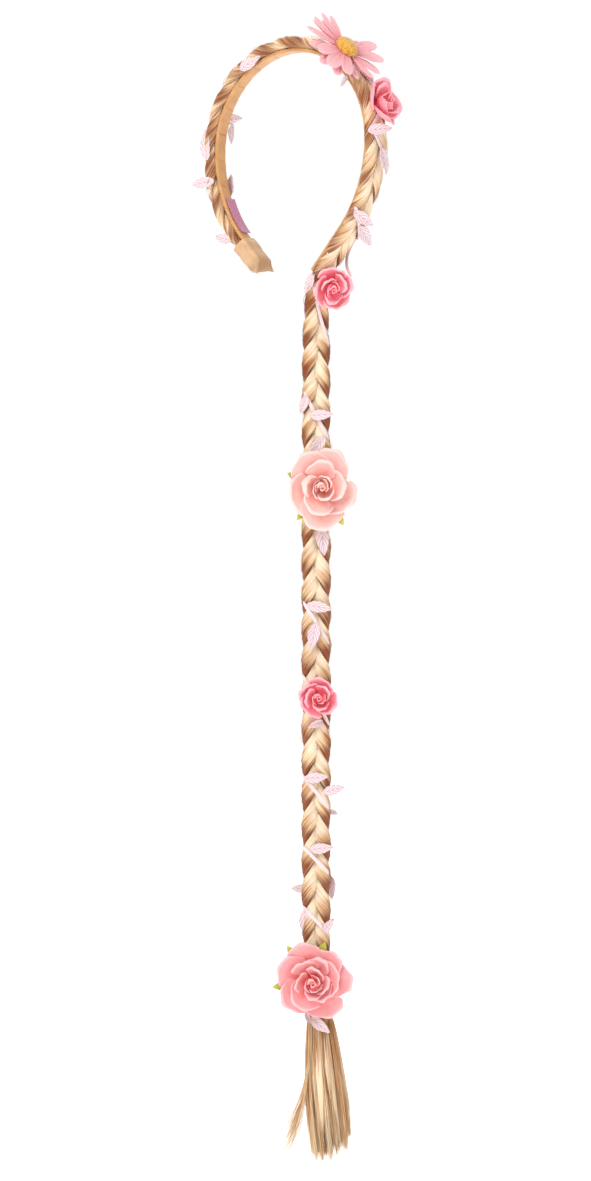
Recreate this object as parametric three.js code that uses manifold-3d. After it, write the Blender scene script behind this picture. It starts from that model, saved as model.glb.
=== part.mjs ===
// Flower headband with one long hanging braid, in millimetres, +Z up.
// The origin is the middle of the band's inner face at the crown, where it sits on the head.
// X runs from ear to ear, -Y is the band's front edge, and the braid hangs below the end at +X.

import * as THREE from 'three';
import { mergeVertices } from 'three/addons/utils/BufferGeometryUtils.js';
import Module from 'manifold-3d';

const wasm = await Module();
wasm.setup();
const deg = THREE.MathUtils.degToRad;

// Hair band: the inner face of the arch, then the section of the strip
const CROWN_HALF_WIDTH = 59.5;
const CROWN_RISE = 58;
const ARM_RADIUS = 80;
const ARM_TURN = deg(42);
const LEFT_STRAIGHT = 24;
const RIGHT_STRAIGHT = 34;
const BAND_WIDTH = 8.4;
const BAND_THICKNESS = 2.6;
const BAND_EDGE_ROUND = 0.8;
const BAND_STEPS = 28;

// Clearance left between pieces that touch
const SEAT_GAP = 0.4;

// Points closer than this are one point
const MERGE_DISTANCE = 1e-4;

// Braid: how it lies on the band, leaves it and hangs
const BRAID_SEAT = BAND_THICKNESS + SEAT_GAP;
const BAND_BRAID_THICKNESS = 7.5;
const BRAID_START = 4;
const BEND_PAST_ARM = 23;
const BEND_RADIUS = 40;
const TAIL_DROP = 597;
const TAIL_TURN = deg(50);
const TAIL_TURN_DELAY = 14;
const TAIL_TURN_LENGTH = 55;
const STRAND_COUNT = 3;
const STRAND_SIDES = 5;
const BAND_WEAVE_PITCH = 72;
const TAIL_WEAVE_PITCH = 61.5;
const STEPS_PER_WEAVE = 12;
const STRAND_SWING = 0.28;
const STRAND_RISE = 0.27;
const STRAND_HALF_WIDTH = 0.22;
const STRAND_HALF_THICKNESS = 0.23;
const STRAND_SLACK = 0.65;

// Width and thickness of the braid at distances along it from its left end
const BRAID_SIZES = [
  { along: 0, width: 8, thick: 4.2 },
  { along: 23, width: 9.2, thick: 5.2 },
  { along: 36, width: 15, thick: BAND_BRAID_THICKNESS },
  { along: 190, width: 15.5, thick: BAND_BRAID_THICKNESS },
  { along: 290, width: 18, thick: BAND_BRAID_THICKNESS },
  { along: 378, width: 18, thick: BAND_BRAID_THICKNESS },
  { along: 430, width: 18.6, thick: 9.6 },
  { along: 790, width: 17.6, thick: 9.2 },
  { along: 846, width: 14, thick: 7.4 },
];

// Leaf ribbon: its section, its leaves, and where it turns at the edges of the braid.
// An edge is -1 at the front or left and 1 at the back or right; over is 1 where the stretch that follows
// crosses the outer face and -1 where it passes behind.
const STEM_WIDTH = 2;
const STEM_THICKNESS = 0.8;
const STEM_CLEARANCE = 1.2;
const STEM_STATIONS = [0, 0.08, 0.5, 0.92];
const LEAF_WIDTH = 7;
const LEAF_THICKNESS = 1;
const BAND_TURNS = [
  { along: 22, edge: -1, over: 1 },
  { along: 44, edge: 1, over: 1 },
  { along: 63, edge: -1, over: 1 },
  { along: 105, edge: 1, over: 1 },
  { along: 148, edge: -1, over: 1 },
  { along: 192, edge: 1, over: 1 },
  { along: 240, edge: -1, over: 1 },
  { along: 270, edge: 1, over: 1 },
  { along: 289, edge: -1, over: 1 },
  { along: 310, edge: 1, over: 1 },
  { along: 338, edge: -1, over: 1 },
  { along: 358, edge: 1, over: 1 },
  { along: 374, edge: -1, over: 1 },
];
const TAIL_TURNS = [
  { drop: 159, edge: -1, over: 1 },
  { drop: 184, edge: 1, over: -1 },
  { drop: 212, edge: -1, over: 1 },
  { drop: 242, edge: 1, over: -1 },
  { drop: 256, edge: -1, over: 1 },
  { drop: 299, edge: 1, over: -1 },
  { drop: 342, edge: -1, over: 1 },
  { drop: 368, edge: 1, over: -1 },
  { drop: 388, edge: -1, over: 1 },
  { drop: 418, edge: 1, over: -1 },
  { drop: 450, edge: -1, over: 1 },
  { drop: 470, edge: 1, over: -1 },
  { drop: 494, edge: -1, over: 1 },
  { drop: 510, edge: 1, over: -1 },
  { drop: 531, edge: -1, over: 1 },
  { drop: 548, edge: 1, over: -1 },
  { drop: 562, edge: -1, over: 1 },
  { drop: 588, edge: 1, over: 1 },
];

// Leaves: where each leaves the stem, its length, and its direction as parts onward along the braid,
// across it towards the back or right, and outward
const BAND_LEAVES = [
  { along: 22, length: 12, onward: 0.3, across: -0.6, out: 0.7 },
  { along: 46, length: 16, onward: 0.9, across: 0.4, out: -0.1 },
  { along: 63, length: 16, onward: 0.1, across: -0.45, out: 0.9 },
  { along: 80, length: 19, onward: 0.97, across: -0.2, out: 0.1 },
  { along: 103, length: 12, onward: -0.8, across: 0.6, out: 0.1 },
  { along: 105, length: 12, onward: 0.2, across: 0.95, out: 0 },
  { along: 148, length: 16, onward: 0.9, across: -0.12, out: -0.4 },
  { along: 243, length: 11, onward: 0.5, across: -0.5, out: -0.7 },
  { along: 290, length: 17, onward: 0.1, across: 0.75, out: 0.5 },
  { along: 299, length: 17, onward: 0.9, across: 0.1, out: 0.3 },
  { along: 340, length: 16, onward: 0.3, across: 0.7, out: 0.5 },
  { along: 352, length: 15, onward: 0.7, across: 0.4, out: 0.5 },
];
const TAIL_LEAVES = [
  { drop: 215, length: 12, onward: 0.9, across: -0.3, out: 0.15 },
  { drop: 225, length: 15, onward: 0.1, across: 0.95, out: 0.2 },
  { drop: 238, length: 11, onward: 0.8, across: -0.5, out: 0.2 },
  { drop: 296, length: 18, onward: 0.95, across: 0.1, out: 0.2 },
  { drop: 345, length: 16, onward: 0.2, across: 0.95, out: 0.25 },
  { drop: 356, length: 17, onward: 0.95, across: -0.2, out: 0.2 },
  { drop: 415, length: 10, onward: 0.5, across: -0.8, out: 0.2 },
  { drop: 452, length: 15, onward: -0.1, across: 0.95, out: 0.25 },
  { drop: 463, length: 14, onward: -0.1, across: 0.95, out: 0.25 },
  { drop: 474, length: 10, onward: 0.3, across: 0.9, out: -0.2 },
  { drop: 498, length: 15, onward: -0.15, across: 0.95, out: 0.25 },
  { drop: 512, length: 15, onward: 0.9, across: 0.3, out: 0.1 },
  { drop: 523, length: 12, onward: 0, across: -1, out: -0.2 },
  { drop: 534, length: 17, onward: 0.95, across: -0.15, out: 0.2 },
  { drop: 544, length: 11, onward: -0.3, across: 0.9, out: 0.25 },
];

// Satin sleeve over the left end: sections from its mouth to its flattened tip
const SLEEVE_WALL = 1;
const SLEEVE_SIDES = 12;
const SLEEVE_TIP_FLARE = 2;
const SLEEVE_SQUARENESS = 0.6;
const SLEEVE_SECTIONS = [
  { along: 18, width: 14.4, thick: 13, out: 4.7 },
  { along: 9, width: 13.8, thick: 12.6, out: 4.5 },
  { along: 0.5, width: 13, thick: 11.8, out: 4 },
  { along: -5.5, width: 14.2, thick: 5, out: 2.2 },
];

// Label on the inner face of the left arm, by angle below the widest level
const LABEL_WIDTH = 7.4;
const LABEL_THICKNESS = 1;
const LABEL_FROM = deg(24);
const LABEL_TO = deg(41);
const LABEL_STEPS = 4;

// Petals: one wall thickness for all, and the steps round one petal and up it
const PETAL_THICKNESS = 1;
const PETAL_STEPS = 4;
const PETAL_RISES = 2;

// Roses: rings of petals from the outside in. Base, belly and rim are [radius, height] of the wall's profile.
// The notch is how far the rim dips between two petals, and the lap how far one petal stands over the next.
const LARGE_ROSE = {
  sepals: { count: 5, root: 6.5, reach: 27, halfWidth: 3.4, rise: 3.5, foot: 0.4, turn: 0.5 },
  rings: [
    { name: 'outer_petals', petals: 5, turn: 0.2, base: [2.6, 2.6], belly: [17, 2.2], rim: [24, 9] },
    { name: 'middle_petals', petals: 5, turn: 0.8, base: [2.6, 4.2], belly: [14.5, 5], rim: [18, 14] },
    { name: 'inner_petals', petals: 4, turn: 0.3, base: [2.6, 5.8], belly: [10.4, 6.6], rim: [11.4, 17.6] },
  ],
  bud: { radius: 6.6, turns: 1.7, foot: 7.4, height: 11 },
};
const SMALL_ROSE = {
  rings: [
    { name: 'outer_petals', petals: 4, turn: 0.4, base: [2.4, 0.6], belly: [12.4, 0.8], rim: [12.6, 9.6] },
    { name: 'inner_petals', petals: 3, turn: 1.1, base: [2.4, 2.2], belly: [8.6, 2.9], rim: [9, 12] },
  ],
  bud: { radius: 5, turns: 1.6, foot: 3.4, height: 9.2 },
};
const PETAL_NOTCH = 0.17;
const PETAL_LAP = 0.9;

// Daisy: two rings of narrow petals and a domed centre
const DAISY = {
  centre: { radius: 6.6, height: 5 },
  hub: 6,
  halfWidth: 3.3,
  rings: [
    { name: 'daisy_petals_lower', count: 11, reach: 28, foot: 0.6, rise: -1, turn: 0.25 },
    { name: 'daisy_petals_upper', count: 11, reach: 26, foot: 2.4, rise: 2, turn: 0 },
  ],
};

// Flowers: distance along the braid or drop below the crown, shift across, how far the face is turned towards
// the front about the braid's line and tilted onward along it, and how far the flower stands off the braid
const FLOWERS = [
  { name: 'daisy', kind: DAISY, along: 234, across: -5, turned: 6, tilted: 12, stand: 2.1 },
  { name: 'small_rose_1', kind: SMALL_ROSE, along: 277, across: 0, turned: 8, tilted: 0, stand: 0.6 },
  { name: 'small_rose_2', kind: SMALL_ROSE, along: 396, across: 6, turned: 40, tilted: 0, stand: -0.3 },
  { name: 'large_rose_1', kind: LARGE_ROSE, drop: 271.5, across: 5, turned: 0, tilted: 0, stand: 0 },
  { name: 'small_rose_3', kind: SMALL_ROSE, drop: 401.5, across: 2, turned: 0, tilted: 0, stand: 0 },
  { name: 'large_rose_2', kind: LARGE_ROSE, drop: 577, across: -1.5, turned: 0, tilted: 0, stand: 0 },
];

// Tie and tassel: each lock runs from the head to its tip, with offsets across and outward
const TIE_HEIGHT = 8;
const TIE_WALL = 1.2;
const TIE_SIDES = 12;
const TIE_SQUARENESS = 0.7;
const TIE_CLEARANCE = 0.7;
const TASSEL_HEAD = { width: 12, thick: 6.2 };
const TASSEL_RISES = 3;
const LOCK_SIDES = 5;
const LOCK_FLATNESS = 0.7;
const LOCK_BEND = 1.6;
const LOCK_SWELL = { from: 0.3, to: 0.9 };
const LOCKS = [
  { from: -4.4, fromOut: 0, to: -19, toOut: 1, drop: 678, width: 5 },
  { from: -3.6, fromOut: 0.8, to: -12, toOut: -2, drop: 668, width: 6 },
  { from: -1.6, fromOut: -1, to: -2, toOut: -4, drop: 682, width: 10 },
  { from: 0, fromOut: 1.2, to: 4, toOut: 3.5, drop: 689, width: 10 },
  { from: 1.6, fromOut: -0.8, to: 10, toOut: -3, drop: 686, width: 9 },
  { from: 3.4, fromOut: 0.8, to: 16, toOut: 2, drop: 681, width: 8 },
  { from: 4.6, fromOut: 0, to: 20, toOut: -1, drop: 664, width: 5 },
];

// Finishes
const finish = (color, roughness) => new THREE.MeshStandardMaterial({ color, roughness, metalness: 0 });
const satin = finish('#d6a56e', 0.45);
const sleeveSatin = finish('#d7b48c', 0.5);
const labelCloth = finish('#be7396', 0.6);
const hair = finish('#dcaf78', 0.35);
const thread = finish('#c79a66', 0.7);
const ribbon = finish('#fae6ee', 0.6);
const sepalCloth = finish('#afb228', 0.7);
const daisyCloth = finish('#f5a5aa', 0.7);
const daisyFoam = finish('#e6a50a', 0.85);
const roseCloth = {
  large_rose_1: finish('#ffd0ca', 0.7),
  large_rose_2: finish('#fab4b9', 0.7),
  small_rose_1: finish('#ff8296', 0.7),
  small_rose_2: finish('#ff8296', 0.7),
  small_rose_3: finish('#ff8296', 0.7),
};

const headband = new THREE.Group();

function addPiece(parent, name, geometry, material) {
  const piece = new THREE.Mesh(geometry, material);
  piece.name = name;
  parent.add(piece);
}

// One closed skin through rings that have the same number of points. A looped skin joins its last ring to its
// first; any other is closed by a flat fan at both ends. The faces are turned to point outwards.
function skin(rings, looped = false) {
  const sides = rings[0].length;
  const spans = looped ? rings.length : rings.length - 1;
  const last = (rings.length - 1) * sides;
  const faces = [];
  for (let i = 0; i < spans; i++) {
    const here = i * sides;
    const next = ((i + 1) % rings.length) * sides;
    for (let j = 0; j < sides; j++) {
      const k = (j + 1) % sides;
      faces.push([here + j, next + j, next + k], [here + j, next + k, here + k]);
    }
  }
  if (!looped) {
    for (let j = 1; j < sides - 1; j++) {
      faces.push([0, j, j + 1], [last, last + j + 1, last + j]);
    }
  }
  const points = rings.flat();
  const volume = faces.reduce((sum, [a, b, c]) => sum + points[a].dot(points[b].clone().cross(points[c])), 0);
  const turned = volume < 0 ? faces.map(([a, b, c]) => [a, c, b]) : faces;
  const geometry = new THREE.BufferGeometry().setFromPoints(points);
  geometry.setIndex(turned.flat());
  return geometry;
}

// A closed geometry as a solid that can be joined, and back again
function solidOf(geometry) {
  const bare = geometry.clone();
  bare.deleteAttribute('normal');
  bare.deleteAttribute('uv');
  const merged = mergeVertices(bare, MERGE_DISTANCE);
  const vertProperties = new Float32Array(merged.attributes.position.array);
  const triVerts = new Uint32Array(merged.index.array);
  return new wasm.Manifold(new wasm.Mesh({ numProp: 3, vertProperties, triVerts }));
}

function geometryOf(solid) {
  const { vertProperties, triVerts } = solid.getMesh();
  const geometry = new THREE.BufferGeometry();
  geometry.setAttribute('position', new THREE.BufferAttribute(vertProperties, 3));
  geometry.setIndex(new THREE.BufferAttribute(triVerts, 1));
  return geometry;
}

function joined(geometries) {
  const whole = geometries.map(solidOf).reduce((sum, solid) => sum.add(solid));
  return geometryOf(whole);
}

// A table's values at a distance along the braid, in straight lines between its rows
function valuesAt(rows, along) {
  const after = Math.max(1, rows.findIndex((row) => row.along >= along));
  const upper = along > rows.at(-1).along ? rows.at(-1) : rows[after];
  const lower = rows[after - 1];
  const part = THREE.MathUtils.clamp((along - lower.along) / (upper.along - lower.along || 1), 0, 1);
  const values = {};
  for (const key of Object.keys(lower)) {
    values[key] = THREE.MathUtils.lerp(lower[key], upper[key], part);
  }
  return values;
}

// A point on the straight end of an arm, so far past its arc; side is -1 on the left and 1 on the right
function armPoint(side, out, past) {
  const reach = ARM_RADIUS + out;
  const overMiddle = ARM_RADIUS - CROWN_HALF_WIDTH;
  const x = reach * Math.cos(ARM_TURN) - overMiddle - past * Math.sin(ARM_TURN);
  const z = -CROWN_RISE - reach * Math.sin(ARM_TURN) - past * Math.cos(ARM_TURN);
  return new THREE.Vector2(side * x, z);
}

// The arch in the XZ plane at a distance out from the inner face, from the left end to the right arm's arc
function archPath(out) {
  const path = new THREE.Path();
  const leftEnd = armPoint(-1, out, LEFT_STRAIGHT);
  const leftArc = armPoint(-1, out, 0);
  const overMiddle = ARM_RADIUS - CROWN_HALF_WIDTH;
  path.moveTo(leftEnd.x, leftEnd.y);
  path.lineTo(leftArc.x, leftArc.y);
  path.absarc(overMiddle, -CROWN_RISE, ARM_RADIUS + out, Math.PI + ARM_TURN, Math.PI, true);
  path.absellipse(0, -CROWN_RISE, CROWN_HALF_WIDTH + out, CROWN_RISE + out, Math.PI, 0, true);
  path.absarc(-overMiddle, -CROWN_RISE, ARM_RADIUS + out, 0, -ARM_TURN, true);
  return path;
}

// The band's middle line ends with the right arm's straight
function bandPath() {
  const path = archPath(BAND_THICKNESS / 2);
  const rightEnd = armPoint(1, BAND_THICKNESS / 2, RIGHT_STRAIGHT);
  path.lineTo(rightEnd.x, rightEnd.y);
  return path;
}

// The braid's middle line follows the band's outer face, bends off the right arm and hangs straight down
function braidPath() {
  const out = BRAID_SEAT + BAND_BRAID_THICKNESS / 2;
  const path = archPath(out);
  const bendStart = armPoint(1, out, BEND_PAST_ARM);
  const bendX = bendStart.x + BEND_RADIUS * Math.cos(ARM_TURN);
  const bendZ = bendStart.y - BEND_RADIUS * Math.sin(ARM_TURN);
  path.lineTo(bendStart.x, bendStart.y);
  path.absarc(bendX, bendZ, BEND_RADIUS, Math.PI - ARM_TURN, Math.PI, false);
  path.lineTo(bendX - BEND_RADIUS, -TAIL_DROP);
  return path;
}

// Place and directions on a path: onward along it, out from the arch, and across towards +Y
function frameOn(path, along) {
  const part = THREE.MathUtils.clamp(along / path.getLength(), 0, 1);
  const place = path.getPoint(part);
  const heading = path.getTangent(part);
  const past = along - part * path.getLength();
  const onward = new THREE.Vector3(heading.x, 0, heading.y);
  return {
    centre: new THREE.Vector3(place.x, 0, place.y).addScaledVector(onward, past),
    onward,
    out: new THREE.Vector3(-heading.y, 0, heading.x),
    across: new THREE.Vector3(0, 1, 0),
  };
}

function pointIn(frame, across, out) {
  return frame.centre.clone().addScaledVector(frame.across, across).addScaledVector(frame.out, out);
}

const braidLine = braidPath();
const braidLength = braidLine.getLength();
const bendAlong = archPath(BRAID_SEAT + BAND_BRAID_THICKNESS / 2).getLength() + BEND_PAST_ARM;

// Distance along the braid at a drop below the crown, on the straight tail
function alongAt(drop) {
  return braidLength - (TAIL_DROP - drop);
}

// The braid's frame: past the band's end its flat face turns towards the front
function braidFrame(along) {
  const frame = frameOn(braidLine, along);
  const turnStart = bendAlong + TAIL_TURN_DELAY;
  const turned = TAIL_TURN * THREE.MathUtils.smoothstep(along, turnStart, turnStart + TAIL_TURN_LENGTH);
  frame.out.applyAxisAngle(frame.onward, turned);
  frame.across.applyAxisAngle(frame.onward, turned);
  return frame;
}

// Band: a flat strip with rounded edges
function bandSection() {
  const half = BAND_WIDTH / 2;
  const deep = BAND_THICKNESS / 2;
  const r = BAND_EDGE_ROUND;
  const quarter = [[half, deep - r], [half - r, deep]];
  const upper = [...quarter, ...quarter.toReversed().map(([x, y]) => [-x, y])];
  return [...upper, ...upper.toReversed().map(([x, y]) => [x, -y])];
}

function bandGeometry() {
  const path = bandPath();
  const section = bandSection();
  const rings = [];
  for (let i = 0; i <= BAND_STEPS; i++) {
    const frame = frameOn(path, path.getLength() * i / BAND_STEPS);
    rings.push(section.map(([x, y]) => pointIn(frame, x, y)));
  }
  return skin(rings);
}

addPiece(headband, 'band', bandGeometry(), satin);

// Braid: each strand swings across the braid once per weave and rises twice, always over as it moves outwards
function weavePhase(along) {
  const onBand = Math.min(along - bendAlong, 0) / BAND_WEAVE_PITCH;
  const onTail = Math.max(along - bendAlong, 0) / TAIL_WEAVE_PITCH;
  return 2 * Math.PI * (onBand + onTail);
}

function strandCentre(strand, along) {
  const { width, thick } = valuesAt(BRAID_SIZES, along);
  const phase = weavePhase(along) + 2 * Math.PI * strand / STRAND_COUNT;
  const across = width * STRAND_SWING * Math.sin(phase);
  return new THREE.Vector2(across, thick * STRAND_RISE * Math.sin(2 * phase));
}

// A strand's outline in the braid's section: an ellipse round its centre, pressed flat halfway to each neighbour
function strandOutline(strand, along) {
  const { width, thick } = valuesAt(BRAID_SIZES, along);
  const halfWidth = width * STRAND_HALF_WIDTH;
  const halfThick = thick * STRAND_HALF_THICKNESS;
  const centre = strandCentre(strand, along);
  const outline = [];
  for (let j = 0; j < STRAND_SIDES; j++) {
    const angle = 2 * Math.PI * j / STRAND_SIDES;
    const reach = new THREE.Vector2(halfWidth * Math.cos(angle), halfThick * Math.sin(angle));
    let share = 1;
    for (let other = 0; other < STRAND_COUNT; other++) {
      const apart = strandCentre(other, along).sub(centre);
      const halfway = apart.length() / 2 - STRAND_SLACK;
      const towards = reach.dot(apart) / (apart.length() || 1);
      if (other !== strand && towards > 0) {
        share = Math.min(share, halfway / towards);
      }
    }
    outline.push(centre.clone().addScaledVector(reach, share));
  }
  return outline;
}

// The sections of a strand go from the bend towards one end of the braid, at even steps of the weave
function strandGeometry(strand, end, pitch) {
  const direction = Math.sign(end - bendAlong);
  const step = direction * pitch / STEPS_PER_WEAVE;
  const count = Math.round((end - bendAlong) / step);
  const stations = [bendAlong + direction * SEAT_GAP / 2];
  for (let i = 1; i < count; i++) {
    stations.push(bendAlong + i * step);
  }
  stations.push(end);
  return skin(stations.map((along) => {
    const frame = braidFrame(along);
    return strandOutline(strand, along).map(({ x, y }) => pointIn(frame, x, y));
  }));
}

for (let strand = 0; strand < STRAND_COUNT; strand++) {
  const onBand = strandGeometry(strand, BRAID_START, BAND_WEAVE_PITCH);
  const onTail = strandGeometry(strand, braidLength, TAIL_WEAVE_PITCH);
  addPiece(headband, `band_strand_${strand + 1}`, onBand, hair);
  addPiece(headband, `tail_strand_${strand + 1}`, onTail, hair);
}

// End sleeve: a thin satin wall round band and braid, flattened at its tip, whose corners reach further
function sleeveRing(section, inset) {
  const frame = frameOn(braidLine, section.along);
  const middle = section.out - BRAID_SEAT - BAND_BRAID_THICKNESS / 2;
  const atTip = section === SLEEVE_SECTIONS.at(-1);
  const ring = [];
  for (let j = 0; j < SLEEVE_SIDES; j++) {
    const angle = 2 * Math.PI * (j + 0.5) / SLEEVE_SIDES;
    const c = Math.cos(angle);
    const s = Math.sin(angle);
    const across = (section.width / 2 - inset) * Math.sign(c) * Math.abs(c) ** SLEEVE_SQUARENESS;
    const out = middle + (section.thick / 2 - inset) * Math.sign(s) * Math.abs(s) ** SLEEVE_SQUARENESS;
    const flare = atTip ? SLEEVE_TIP_FLARE * c * c : 0;
    ring.push(pointIn(frame, across, out).addScaledVector(frame.onward, -flare));
  }
  return ring;
}

const sleeveOutside = SLEEVE_SECTIONS.map((section) => sleeveRing(section, 0));
const sleeveInside = SLEEVE_SECTIONS.toReversed().map((section) => sleeveRing(section, SLEEVE_WALL));
addPiece(headband, 'end_sleeve', skin([...sleeveOutside, ...sleeveInside], true), sleeveSatin);

// Label: a thin curved tab on the inner face of the left arm
function labelGeometry() {
  const overMiddle = ARM_RADIUS - CROWN_HALF_WIDTH;
  const near = ARM_RADIUS - SEAT_GAP;
  const far = near - LABEL_THICKNESS;
  const half = LABEL_WIDTH / 2;
  const rings = [];
  for (let i = 0; i <= LABEL_STEPS; i++) {
    const angle = THREE.MathUtils.lerp(LABEL_FROM, LABEL_TO, i / LABEL_STEPS);
    const corner = (radius, y) => new THREE.Vector3(
      overMiddle - radius * Math.cos(angle), y, -CROWN_RISE - radius * Math.sin(angle));
    rings.push([corner(near, -half), corner(near, half), corner(far, half), corner(far, -half)]);
  }
  return skin(rings);
}

addPiece(headband, 'label', labelGeometry(), labelCloth);

// Leaf ribbon: a place on the braid's rounded outline, x^p + y^p = 1, at x from -1 to 1 across it
const OUTLINE_POWER = 4;

function ribbonPoint(along, x, over) {
  const frame = braidFrame(along);
  const { width, thick } = valuesAt(BRAID_SIZES, along);
  const rise = over * (1 - x ** OUTLINE_POWER) ** (1 / OUTLINE_POWER);
  const place = pointIn(frame, x * (width / 2 + STEM_CLEARANCE), rise * (thick / 2 + STEM_CLEARANCE));
  const facing = frame.across.clone().multiplyScalar(x ** (OUTLINE_POWER - 1));
  facing.addScaledVector(frame.out, over * Math.abs(rise) ** (OUTLINE_POWER - 1)).normalize();
  return { place, facing, frame };
}

function ribbonRoute(turns) {
  const route = [];
  for (let i = 0; i + 1 < turns.length; i++) {
    for (const part of STEM_STATIONS) {
      const along = THREE.MathUtils.lerp(turns[i].along, turns[i + 1].along, part);
      const x = THREE.MathUtils.lerp(turns[i].edge, turns[i + 1].edge, part);
      route.push({ along, ...ribbonPoint(along, x, turns[i].over) });
    }
  }
  return route;
}

function stemGeometry(route) {
  const rings = route.map(({ place, facing }, i) => {
    const before = route[Math.max(i - 1, 0)].place;
    const after = route[Math.min(i + 1, route.length - 1)].place;
    const side = after.clone().sub(before).cross(facing).normalize();
    const corner = (s, f) => place.clone()
      .addScaledVector(side, s * STEM_WIDTH / 2).addScaledVector(facing, f * STEM_THICKNESS / 2);
    return [corner(-1, -1), corner(1, -1), corner(1, 1), corner(-1, 1)];
  });
  return skin(rings);
}

// A leaf: flat sections at its stalk, at its widest place and at its tip
const LEAF_TIP_SHARE = 0.6;
const LEAF_STEEP = 0.75;
const LEAF_SECTIONS = [
  { at: 0, width: 0.2 },
  { at: 0.42, width: 1 },
  { at: 1, width: 0.1 },
];

function leafGeometry(base, frame, leaf) {
  const pointing = frame.onward.clone().multiplyScalar(leaf.onward);
  pointing.addScaledVector(frame.across, leaf.across).addScaledVector(frame.out, leaf.out).normalize();
  const upright = Math.abs(pointing.dot(frame.out)) > LEAF_STEEP;
  const facing = upright ? frame.across.clone().negate() : frame.out.clone();
  facing.addScaledVector(pointing, -facing.dot(pointing)).normalize();
  const side = pointing.clone().cross(facing);
  const rings = LEAF_SECTIONS.map(({ at, width }) => {
    const middle = base.clone().addScaledVector(pointing, at * leaf.length);
    const half = width * LEAF_WIDTH / 2;
    const thick = LEAF_THICKNESS / 2 * Math.max(width, LEAF_TIP_SHARE);
    return [[half, 0], [0, thick], [-half, 0], [0, -thick]].map(([s, f]) => (
      middle.clone().addScaledVector(side, s).addScaledVector(facing, f)));
  });
  return skin(rings);
}

function vineGeometry(turns, leaves) {
  const route = ribbonRoute(turns);
  const nearest = (along) => route.reduce((best, point) => (
    Math.abs(point.along - along) < Math.abs(best.along - along) ? point : best));
  const grown = leaves.map((leaf) => {
    const { place, frame } = nearest(leaf.along);
    return leafGeometry(place, frame, leaf);
  });
  return joined([stemGeometry(route), ...grown]);
}

const withAlong = (row) => ({ ...row, along: alongAt(row.drop) });
addPiece(headband, 'band_vine', vineGeometry(BAND_TURNS, BAND_LEAVES), ribbon);
addPiece(headband, 'tail_vine', vineGeometry(TAIL_TURNS.map(withAlong), TAIL_LEAVES.map(withAlong)), ribbon);

// A ring of petals: the section of a curved wall carried round the flower's axis
function petalRing({ petals, base, belly, rim, turn }) {
  const corners = [base, belly, rim].map(([radius, height]) => new THREE.Vector2(radius, height));
  const profile = new THREE.QuadraticBezierCurve(...corners);
  const steps = petals * PETAL_STEPS;
  const rings = [];
  for (let i = 0; i < steps; i++) {
    const angle = turn + 2 * Math.PI * i / steps;
    const inPetal = (i % PETAL_STEPS + 0.5) / PETAL_STEPS;
    const reach = 1 - PETAL_NOTCH * Math.abs(2 * inPetal - 1) ** 3;
    const outside = [];
    const inside = [];
    for (let j = 0; j <= PETAL_RISES; j++) {
      const part = reach * j / PETAL_RISES;
      const place = profile.getPoint(part);
      const along = profile.getTangent(part);
      const lift = PETAL_LAP * (inPetal - 0.5) * j / PETAL_RISES;
      const wall = (offset) => new THREE.Vector3(
        (place.x - along.y * offset) * Math.cos(angle),
        (place.x - along.y * offset) * Math.sin(angle),
        place.y + along.x * offset);
      outside.push(wall(lift - PETAL_THICKNESS / 2));
      inside.unshift(wall(lift + PETAL_THICKNESS / 2));
    }
    rings.push([...outside, ...inside]);
  }
  return skin(rings, true);
}

// A bud: one strip of cloth rolled in a spiral, drawn in at its foot
const BUD_STEPS = 14;
const BUD_FOOT_SCALE = 0.55;
const BUD_HEART = 0.25;

function budGeometry({ radius, turns, foot, height }) {
  const spiral = (offset) => {
    const points = [];
    for (let i = 0; i <= BUD_STEPS; i++) {
      const part = i / BUD_STEPS;
      const angle = 2 * Math.PI * turns * part;
      const reach = radius * (BUD_HEART + (1 - BUD_HEART) * part) + offset;
      points.push(new THREE.Vector2(reach * Math.cos(angle), reach * Math.sin(angle)));
    }
    return points;
  };
  const outline = new THREE.Shape([...spiral(0), ...spiral(-PETAL_THICKNESS).reverse()]);
  const geometry = new THREE.ExtrudeGeometry(outline, { depth: height, bevelEnabled: false });
  const position = geometry.attributes.position;
  for (let i = 0; i < position.count; i++) {
    const scale = THREE.MathUtils.lerp(BUD_FOOT_SCALE, 1, position.getZ(i) / height);
    position.setXY(i, position.getX(i) * scale, position.getY(i) * scale);
  }
  return geometry.translate(0, 0, foot);
}

// A flat star of pointed blades, lifted towards their tips
function starGeometry({ count, root, reach, halfWidth, rise, foot, turn }, shoulders) {
  const outline = [];
  for (let i = 0; i < count; i++) {
    const angle = turn + 2 * Math.PI * i / count;
    const rootAngle = angle - Math.PI / count;
    outline.push(new THREE.Vector2(root * Math.cos(rootAngle), root * Math.sin(rootAngle)));
    for (const [at, wide] of shoulders) {
      const point = new THREE.Vector2(at * reach, wide * halfWidth);
      outline.push(point.rotateAround(new THREE.Vector2(), angle));
    }
  }
  const shape = new THREE.Shape(outline);
  const geometry = new THREE.ExtrudeGeometry(shape, { depth: PETAL_THICKNESS, bevelEnabled: false });
  const position = geometry.attributes.position;
  for (let i = 0; i < position.count; i++) {
    const radius = Math.hypot(position.getX(i), position.getY(i));
    const part = THREE.MathUtils.clamp((radius - root) / (reach - root), 0, 1);
    position.setZ(i, position.getZ(i) + foot + rise * part);
  }
  return geometry;
}

// Blade outlines: [part of the reach, part of the half width], from one side round the tip to the other
const SEPAL_BLADE = [[0.55, -1], [0.85, -0.5], [1, 0], [0.85, 0.5], [0.55, 1]];
const PETAL_BLADE = [[0.62, -1], [0.92, -0.7], [1, 0], [0.92, 0.7], [0.62, 1]];
const DOME_STEPS = 4;
const DOME_SIDES = 12;

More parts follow.
